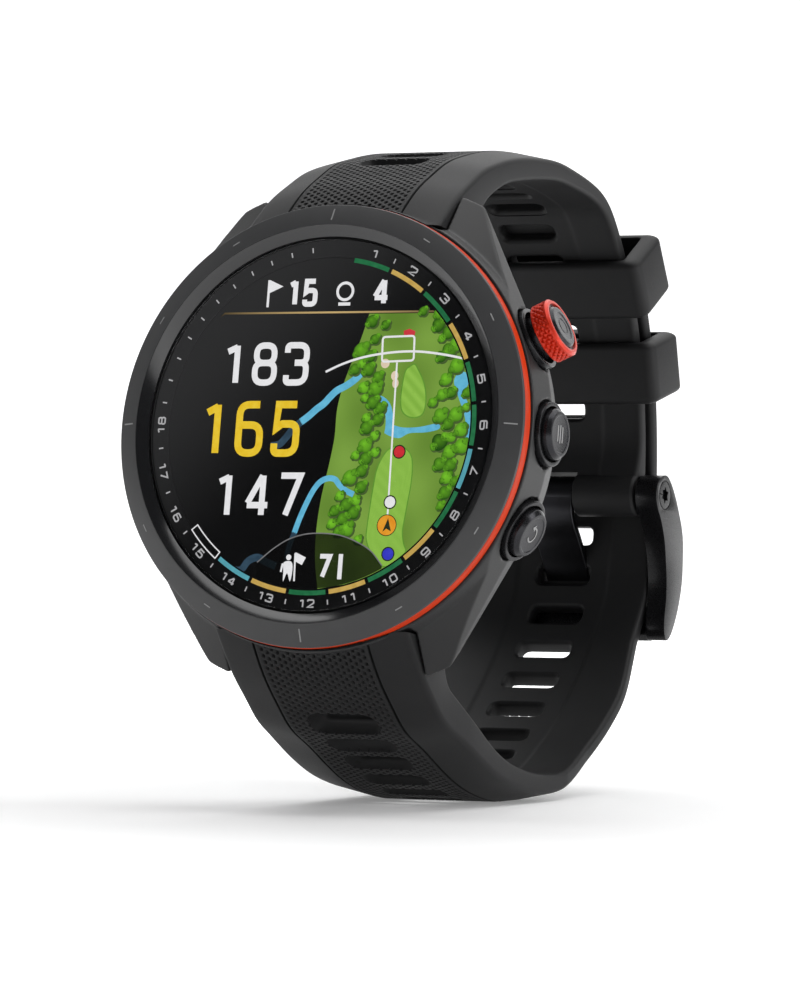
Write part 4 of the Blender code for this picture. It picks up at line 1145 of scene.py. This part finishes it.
# the player with the flag, and the reading beside them
header.add(number("7", 0.95, -16.2, 1.65, 2.65, 0.5, 0.4, 1.8))
header.add(ribbon2([(3.6, -16.2), (3.6, -13.55)], 0.5))
header.add(spot(-2.45, -13.95, 0.3))
header.add(patch([(-3.0, -14.5), (-2.1, -14.4), (-1.9, -15.3), (-2.1, -16.5), (-2.5, -15.6), (-2.9, -16.5),
                  (-2.95, -15.4)], 3))
header.add(ribbon2([(-1.72, -13.5), (-1.62, -16.45)], 0.2))
header.add(polygon([(-1.7, -13.4), (-0.45, -13.95), (-0.85, -14.75), (-1.6, -14.4)]))
header.add(ribbon2([(-3.1, -14.6), (-3.25, -15.5)], 0.22))
header.done()
readings = Picture("reading_white", WHITE, 8)
for text, x, y, height, pitch in (("183", -12.25, 4.2, 4.65, 3.72), ("147", -12.0, -9.85, 4.85, 3.8)):
    readings.add(number(text, x, y, 2.95, height, 0.68, 1.05, pitch))
readings.done()
Picture("reading_yellow", YELLOW, 9).add(number("165", -14.2, -3.35, 3.3, 5.95, 0.8, 1.15, 4.28)).done()

rule = Picture("header_rule", shaded("screen_rule", srgb(14, 12, 9), srgb(206, 176, 118)), 3)
line = np.linspace(-14.2, 13.0, 30)
tones = [max(0.0, 1 - abs((x - 0.5) / 14.5) ** 1.3) for x in line]
rule.add(band([(x, 12.08) for x in line], [(x, 11.88) for x in line]), tones + tones)
rule.done()

ground = Picture("map_ground_area", GROUND, 1)
left_edge = [(4.7, 11.8), (4.1, 9.6), (3.1, 6.7), (2.3, 4.2), (1.85, 2.0), (1.75, -1.5), (1.4, -4.0),
             (0.75, -7.8), (0.5, -11.0), (0.6, -14.0), (1.15, -17.2)]
edge_line = [tuple(p) for p in spline(left_edge, 0.5)[:, :2]]
columns = 26
flat, faces, tones = [], [], []
for k, (x, y) in enumerate(edge_line):
    right = math.sqrt(max(17.25**2 - y * y, 0.01))
    for c in range(columns):
        px = x + (right - x) * c / (columns - 1)
        flat.append((px, y))
        tones.append(0.55 + 0.22 * math.sin(px * 0.9 + y * 0.35) + 0.16 * math.sin(
            y * 0.8 - px * 0.5) - 0.35 * max(0, (y - 9) / 3))
        if k and c:
            i = k * columns + c
            faces.append([i - columns - 1, i - columns, i, i - 1])
ground.add((flat, faces), tones)
ground.done()


def area(name, material, level, points, stripes=0.0):
    """A mown area: a smooth outline filled from its middle line, with faint stripes."""
    outline = soft_outline(points, 5)
    cx, cy = np.mean(outline, axis=0)
    flat, faces, tones = [(cx, cy)], [], [0.5]
    count = len(outline)
    for ring in range(1, 9):
        for x, y in outline:
            px, py = cx + (x - cx) * ring / 8, cy + (y - cy) * ring / 8
            flat.append((px, py))
            tones.append(0.5 + stripes * math.sin((px + py) * 4.2))
    for i in range(count):
        faces.append([0, 1 + i, 1 + (i + 1) % count])
    for ring in range(1, 8):
        for i in range(count):
            j = (i + 1) % count
            base = 1 + (ring - 1) * count
            faces.append([base + i, base + count + i, base + count + j, base + j])
    Picture(name, material, level).add((flat, faces), tones).done()


FAIR_ONE = [(9.4, 5.7), (9.15, 4.2), (9.1, 2.6), (9.35, 1.5), (10.1, 0.9), (11.0, 0.8), (11.75, 1.2),
            (12.0, 2.3),
            (11.85, 3.7), (11.4, 4.9), (10.8, 5.9), (10.4, 6.4), (9.9, 6.2)]
FAIR_TWO = [(7.8, -2.9), (7.0, -4.5), (6.7, -6.5), (6.5, -8.6), (6.35, -10.6), (6.35, -11.9), (6.8, -13.0),
            (7.6, -14.0),
            (8.5, -14.8), (9.4, -14.6), (10.3, -13.9), (11.0, -13.2), (10.7, -12.4), (10.45, -11.2),
            (10.6, -9.7),
            (10.8, -8.0), (11.0, -6.4), (11.05, -4.8), (10.9, -3.5), (10.4, -2.7), (9.5, -2.2), (8.6, -2.3)]
area("map_fairway_one", FAIRWAY, 3, FAIR_ONE, 0.3)
area("map_fairway_two", FAIRWAY, 3, FAIR_TWO, 0.12)
rims = Picture("map_fairway_rims", SHORE, 4)
rims.add(ribbon2(soft_outline(FAIR_ONE, 5), 0.13, True)).add(ribbon2(soft_outline(FAIR_TWO, 5), 0.13,
        True)).done()

water = Picture("map_creeks", WATER, 2)
water.add(flow([(4.4, 5.6), (3.65, 4.85), (2.6, 4.15), (1.6, 3.65), (0.8, 2.9), (0.25, 2.3), (-0.6, 1.7),
                (-1.4, 1.0), (-2.3, 0.35)], 0.78))
water.add(flow([(4.5, -7.3), (3.6, -6.9), (2.75, -6.3), (2.2, -5.7), (1.4, -5.6), (0.55, -5.95),
                (-0.1, -6.7), (-0.6, -7.6), (-1.05, -8.6), (-1.6, -10.0), (-2.05, -11.4)], 0.62))
water.add(flow([(6.0, 2.85), (6.9, 2.6), (7.5, 2.1), (7.85, 1.3), (8.0, 0.2), (7.95, -0.9)], 0.85))
water.add(patch([(7.5, -0.7), (8.2, 0.0), (9.6, -0.25), (11.4, -0.2), (13.5, 0.15), (13.75, -0.4),
                 (12.3, -0.75), (10.4, -0.85), (9.3, -1.35), (8.2, -1.15)]))
water.add(flow([(16.0, 5.6), (15.7, 4.2), (16.1, 2.9), (16.7, 1.7), (17.1, 0.2), (17.1, -1.5)],
               0.75)).add(spot(15.9, 4.6, 0.85, 20, 1.1))
water.done()
deep = Picture("map_dark_creeks", DEEP, 2)
deep.add(flow([(-2.2, 0.42), (-3.1, -0.3), (-3.9, -1.3), (-4.6, -2.0), (-5.6, -2.2)], 0.8))
deep.add(flow([(-2.0, -11.3), (-2.4, -12.4), (-2.65, -13.6), (-2.6, -14.6)], 0.6))
deep.add(flow([(-9.6, -15.2), (-7.9, -15.3), (-7.2, -14.4), (-6.2, -14.0), (-5.0, -14.5), (-3.9, -14.9)],
              0.8))
deep.done()

TREES = [
    (5.1, 11.0, 0.68, 0.2), (6.7, 10.6, 0.5, 0.2), (5.6, 9.1, 0.55, 0.25), (4.1, 7.9, 0.85, 0.55),
         (5.2, 7.3, 0.65, 0.25),
    (4.3, 6.5, 0.5, 0.95), (3.5, 5.9, 0.6, 0.3), (5.1, 5.9, 0.72, 0.3), (6.3, 5.1, 0.62, 0.4),
         (4.7, 4.0, 0.62, 1.0),
    (6.1, 3.9, 0.78, 0.6), (4.95, 2.9, 0.45, 1.0), (5.9, 2.4, 0.72, 0.3), (6.8, 1.8, 0.66, 0.3),
         (5.3, 0.8, 0.5, 1.0),
    (6.6, 0.6, 0.62, 0.3), (5.4, -0.25, 0.72, 0.3), (6.4, -1.1, 0.5, 1.0), (5.4, -2.1, 0.78, 0.75),
         (6.6, -2.85, 0.5, 1.0),
    (5.6, -3.5, 0.7, 0.3), (4.35, -3.15, 0.48, 0.95), (5.2, -4.8, 0.66, 0.3), (3.9, -5.5, 0.8, 0.7),
         (5.3, -6.5, 0.66, 0.3),
    (2.9, -7.45, 0.52, 1.0), (4.8, -7.9, 0.55, 1.0), (3.7, -8.4, 0.72, 0.3), (2.4, -9.05, 0.6, 0.3),
         (4.6, -9.2, 0.72, 0.3),
    (3.4, -9.9, 0.66, 0.35), (2.2, -10.4, 0.52, 1.0), (4.0, -10.9, 0.78, 0.75), (3.0, -11.2, 0.55, 0.4),
         (5.4, -12.0, 0.48, 0.9),
    (10.9, 12.0, 0.5, 0.25), (12.7, 11.7, 0.55, 0.6), (12.8, 10.5, 0.72, 0.15), (14.0, 9.7, 0.72, 0.3),
         (13.3, 9.1, 0.42, 0.85),
    (14.9, 8.4, 0.72, 0.8), (14.2, 7.8, 0.8, 0.35), (13.4, 7.2, 0.62, 0.2), (15.2, 6.2, 0.8, 0.75),
         (14.1, 4.8, 0.66, 0.85),
    (14.8, 3.4, 0.6, 0.25), (13.8, 3.2, 0.6, 0.75), (12.8, 2.4, 0.5, 0.75), (16.6, 3.4, 0.55, 0.3),
         (16.6, 1.9, 0.42, 0.85),
    (13.8, 1.0, 0.78, 0.65), (15.5, 1.1, 0.78, 0.75), (14.7, 0.1, 0.65, 0.3), (16.2, -0.5, 0.72, 0.85),
         (14.9, -1.3, 0.48, 0.8),
    (13.9, -1.8, 0.9, 0.05), (15.2, -1.3, 0.5, 0.85), (16.4, -2.2, 0.8, 0.8), (15.1, -2.8, 0.72, 0.8),
         (14.1, -4.1, 0.72, 0.35),
    (15.3, -4.2, 0.68, 0.3), (15.0, -5.5, 0.68, 0.95), (16.0, -5.9, 0.6, 0.3), (14.9, -7.1, 0.72, 0.3),
         (14.6, -8.4, 0.5, 0.55),
]
shade = Picture("map_tree_shades", SHADE, 5)
trees = Picture("map_tree_tops", TREE, 6)
thicket = []
for x, y, r, light in TREES:
    thicket.append((x + 0.62 * r, y + 0.66 * r, 0.52 * r, 0.9 - 0.7 * light))
    thicket.append((x - 0.7 * r, y - 0.5 * r, 0.5 * r, 0.75 - 0.45 * light))
    thicket.append((x, y, r, light))
for x, y, r, light in thicket:
    shade.add(spot(x + 0.16, y - 0.16, r * 1.06, 16))
    flat, faces, tones = [(x - 0.2 * r, y + 0.25 * r)], [], [min(1, 0.35 + 0.75 * light)]
    for ring, drop in ((0.35, 0.04), (0.7, 0.14), (1.0, 0.34)):
        for a in np.arange(16) * math.pi / 8:
            wobble = 1 + 0.06 * math.sin(3 * a + x)
            flat.append((x - 0.2 * r * (1 - ring) + r * ring * wobble * math.cos(a),
                         y + 0.25 * r * (1 - ring) + r * ring * wobble * math.sin(a)))
            tones.append(max(0.0, 0.25 + 0.65 * light - drop * (1.2 - 0.5 * math.sin(a + 0.8))))
    for i in range(16):
        faces.append([0, 1 + i, 1 + (i + 1) % 16])
        for ring in (0, 1):
            a, b = 1 + ring * 16 + i, 1 + ring * 16 + (i + 1) % 16
            faces.append([a, a + 16, b + 16, b])
    trees.add((flat, faces), tones)
shade.done()
trees.done()

sand = Picture("map_sand_traps", SAND, 7)
for x, y, r, squash in ((7.0, 6.5, 0.5, 1.0), (8.2, 5.2, 0.42, 1.2), (8.35, 4.4, 0.36, 1.4)):
    sand.add(spot(x, y, r, 20, squash))
sand.done()
FLAG = polygon([(8.9, 9.4), (10.15, 9.45), (10.2, 9.9), (9.5, 10.15), (8.85, 9.95)])
Picture("map_flag", printed("screen_red_flag", srgb(206, 52, 60), srgb(218, 66, 72)), 7).add(FLAG).done()
aim = Picture("map_aim_marks", WHITE, 10)
aim.add(ribbon2(eased([(6.5, 9.3, 0.35), (10.15, 9.4, 0.35), (10.25, 6.8, 0.35), (6.6, 6.68, 0.35)], True,
                      5), 0.22, True))
aim.add(ribbon2([(8.35, 6.6), (8.62, -9.6)], 0.2))
aim.add(flow([(0.15, 5.65), (1.85, 6.4), (3.7, 7.0), (6.8, 7.57), (10.4, 7.75), (13.55, 7.42),
              (16.1, 6.95)], 0.24))
aim.done()
RIM = printed("screen_dark_rim", srgb(36, 44, 26), srgb(46, 54, 32))
RED = printed("screen_red", srgb(206, 38, 50), srgb(216, 50, 58))
BLUE = printed("screen_blue", srgb(52, 56, 196), srgb(64, 68, 208))
AMBER = printed("screen_orange", srgb(236, 150, 34), srgb(244, 172, 52))
rims = Picture("map_dot_rims", RIM, 11)
for name, material, x, y, r, rim, steps in (
        ("map_red_dot", RED, 9.4, -2.8, 0.6, 0.74, 28), ("map_white_dot", WHITE, 8.78, -8.08, 0.6, 0.74,
                                                         28),
        ("map_blue_dot", BLUE, 9.0, -13.5, 0.62, 0.76, 28), ("map_player_disc", AMBER, 8.6, -10.5, 1.05,
                1.14, 40)):
    Picture(name, material, 12).add(spot(x, y, r, steps)).done()
    rims.add(spot(x, y, rim))
rims.done()
Picture("map_player_arrow", RIM, 13).add(([(8.72, -9.75), (8.15, -11.2), (8.6, -10.85), (9.15, -11.15)],
                                          [[0, 1, 2], [0, 2, 3]])).done()

DIM = bpy.data.materials.new("screen_dimmed")
DIM.use_nodes = True
tree = DIM.node_tree
tree.nodes.remove(tree.nodes["Principled BSDF"])
veil = tree.nodes.new("ShaderNodeBsdfTransparent")
drift = noise(tree, tree.nodes.new("ShaderNodeTexCoord").outputs["Object"], 400)
tree.links.new(ramp(tree, drift, (0.09, 0.09, 0.08, 1), (0.12, 0.12, 0.1, 1)), veil.inputs["Color"])
tree.links.new(veil.outputs["BSDF"], tree.nodes["Material Output"].inputs["Surface"])
ARCH = [(-6.1, -14.5), (-4.25, -13.0), (-2.75, -12.1), (-1.0, -11.55), (1.5, -11.4), (3.1, -11.55),
        (5.15, -12.2), (7.0, -13.2), (8.4, -14.7)]
arch = [tuple(p) for p in spline(ARCH, 0.4)[:, :2]]
low = [(x, -math.sqrt(max(17.2**2 - x * x, 1))) for x, _ in arch]
Picture("bubble_shade", DIM, 7).add(band(arch, low)).done()
Picture("bubble_line", printed("screen_grey_line", srgb(112, 112, 112), srgb(132, 132, 132)),
        8).add(ribbon2(arch, 0.13)).done()

# ring of arcs, ticks and numbers round the display
score = {1: "green", 2: "yellow", 3: "green", 4: "yellow", 5: "green", 6: "green", 7: "teal", 8: "green",
         9: "yellow",
         10: "green", 11: "yellow", 12: "green", 13: "yellow", 14: "teal"}
for colour, material in ring_colours.items():
    arcs = Picture(f"score_arcs_{colour}", material, 4, "screen", None)
    for hole, kind in score.items():
        if kind == colour:
            arcs.add(sector(17.42, 17.92, 90 - 15 * hole - 6.9, 90 - 15 * hole + 6.9))
    arcs.done()
frame_line = [(r * math.cos(math.radians(a)), r * math.sin(math.radians(a)))
              for r, sweep in ((17.98, np.linspace(218.2, 231.8, 12)),
                               (17.15, np.linspace(231.8, 218.2, 12))) for a in sweep]
Picture("score_current", WHITE, 5, "screen", None).add(ribbon2(frame_line, 0.13, True)).done()

ring_print = Picture("ring_numerals", PRINT, 2, "black_print", None)
for hole in range(1, 19):
    centre = math.radians(90 - 15 * hole)
    outward = 1 if hole <= 6 or hole == 18 else -1
    text = str(hole)
    wide = 1.02 if len(text) == 1 else 0.86
    pitch = 1.02
    total = wide + pitch * (len(text) - 1)
    for k, char in enumerate(text):
        def on_ring(x, y, k=k):
            along = (x + k * pitch - total / 2) * outward
            angle = centre - along / 18.75
            radius = 18.78 + (y - 0.46) * outward
            return radius * math.cos(angle), radius * math.sin(angle)
        ring_print.add(digit(char, wide, 0.92, 0.17, 0.2, on_ring))
ticks = [7.5 + 15 * k for k in range(-13, 5)] + [142.5, 150, 157.5, 165, 172.5, 97.5, 105, 112.5, 120,
                                                 127.5, 135]
for degrees in ticks:
    a = math.radians(degrees)
    ring_print.add(ribbon2([(r * math.cos(a), r * math.sin(a)) for r in (18.5, 19.02)], 0.15))
ring_print.done()

# ---------------------------------------------------------------- finishes of the CAD pieces that stay

KEPT = {
    "lens_gasket": SEAL, "back_seal": SEAL, "start_seal": SEAL, "middle_seal": SEAL, "lower_seal": SEAL,
    "inner_frame": FRAME, "main_board": BOARD, "sensor_board": BOARD, "antenna_ring": COPPER,
        "gps_module": BRIGHT,
    "battery": CELL, "vibration_motor": BRIGHT, "charge_port": FRAME, "start_switch": FRAME,
        "middle_switch": FRAME,
    "lower_switch": FRAME, "start_clip": BRIGHT, "middle_clip": BRIGHT, "lower_clip": BRIGHT,
    "charge_contact_1": GOLD, "charge_contact_2": GOLD, "charge_contact_3": GOLD, "charge_contact_4": GOLD,
}
for name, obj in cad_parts.items():
    if not obj.hide_render:
        obj.data.materials.clear()
        obj.data.materials.append(KEPT[name])

# ---------------------------------------------------------------- studio

WHITE_FLOOR = surface("studio_floor", (0.86, 0.86, 0.86, 1), 0.6, 0.0, 60, spread=0.01, specular=0.1)
tree = WHITE_FLOOR.node_tree
shader = tree.nodes["Principled BSDF"]
shader.inputs["Emission Color"].default_value = (1, 1, 1, 1)
distance = node(tree, "ShaderNodeVectorMath")
distance.operation = "LENGTH"
tree.links.new(tree.nodes.new("ShaderNodeTexCoord").outputs["Object"], distance.inputs[0])
glow = node(tree, "ShaderNodeMapRange", From_Min=0.06, From_Max=0.24, To_Min=0.22, To_Max=0.95)
tree.links.new(distance.outputs["Value"], glow.inputs["Value"])
tree.links.new(glow.outputs["Result"], shader.inputs["Emission Strength"])

AZIMUTH = math.radians(25.947)
toward = Vector((math.sin(AZIMUTH), -math.cos(AZIMUTH), 0))
rightward = Vector((math.cos(AZIMUTH), math.sin(AZIMUTH), 0))


def sweep(name):
    """A floor that curves up into a backdrop, far behind the watch."""
    profile = [(-1.6, 0.0), (1.6, 0.0)]
    profile += [(1.6 + 0.6 * math.sin(a), 0.6 - 0.6 * math.cos(a)) for a in np.radians(np.arange(7.5, 91,
            7.5))]
    profile += [(2.2, 2.2)]
    verts, faces = [], []
    for back, z in profile:
        for side in (-2.4, 2.4):
            point = -toward * back + rightward * side
            verts.append((point.x, point.y, z - 0.00002))
    faces = [[2 * i, 2 * i + 1, 2 * i + 3, 2 * i + 2] for i in range(len(profile) - 1)]
    mesh = bpy.data.meshes.new(name)
    mesh.from_pydata(verts, [], faces)
    mesh.shade_smooth()
    mesh.materials.append(WHITE_FLOOR)
    obj = bpy.data.objects.new(name, mesh)
    bpy.context.scene.collection.objects.link(obj)


sweep("studio_sweep")


def softbox(name, direction, distance, width, height, power, target=(0, 0, 0.036)):
    """An area light that faces the watch from (right, toward the camera, up)."""
    light = bpy.data.lights.new(name, "AREA")
    light.shape = "RECTANGLE"
    light.size, light.size_y = width, height
    light.energy = power
    obj = bpy.data.objects.new(name, light)
    bpy.context.scene.collection.objects.link(obj)
    way = (rightward * direction[0] + toward * direction[1] + Vector((0, 0, direction[2]))).normalized()
    obj.location = Vector(target) + way * distance
    obj.rotation_euler = (-way).to_track_quat("-Z", "Y").to_euler()


# direction, distance, width, height and power of each light
softbox("key_top", (0.2, -0.2, 1.0), 0.6, 0.9, 0.7, 4.1)
softbox("side_right", (1.0, 0.3, 0.3), 0.7, 0.3, 0.6, 1.9)
softbox("side_left", (-1.0, -0.15, 0.35), 0.7, 0.3, 0.6, 0.2)

world = bpy.data.worlds.new("studio")
bpy.context.scene.world = world
world.use_nodes = True
world.node_tree.nodes["Background"].inputs["Color"].default_value = (0.9, 0.92, 0.95, 1)
world.node_tree.nodes["Background"].inputs["Strength"].default_value = 0.09
bpy.context.scene.view_settings.view_transform = "Standard"

roll = math.radians(0.2857)
axis_x = rightward * math.cos(roll) + Vector((0, 0, math.sin(roll)))
axis_y = -rightward * math.sin(roll) + Vector((0, 0, math.cos(roll)))
place = DIAL_CENTRE + axis_x * 8.681 - axis_y * 7.617 + toward * 577.35
camera_data = bpy.data.cameras.new("photo_camera")
camera_data.lens = 200.96
camera_data.sensor_width = 36.0
camera_data.clip_start = 0.01
camera = bpy.data.objects.new("photo_camera", camera_data)
bpy.context.scene.collection.objects.link(camera)
camera.matrix_world = Matrix.Translation(place * MM) @ Matrix((axis_x, axis_y,
        toward)).transposed().to_4x4()
bpy.context.scene.camera = camera
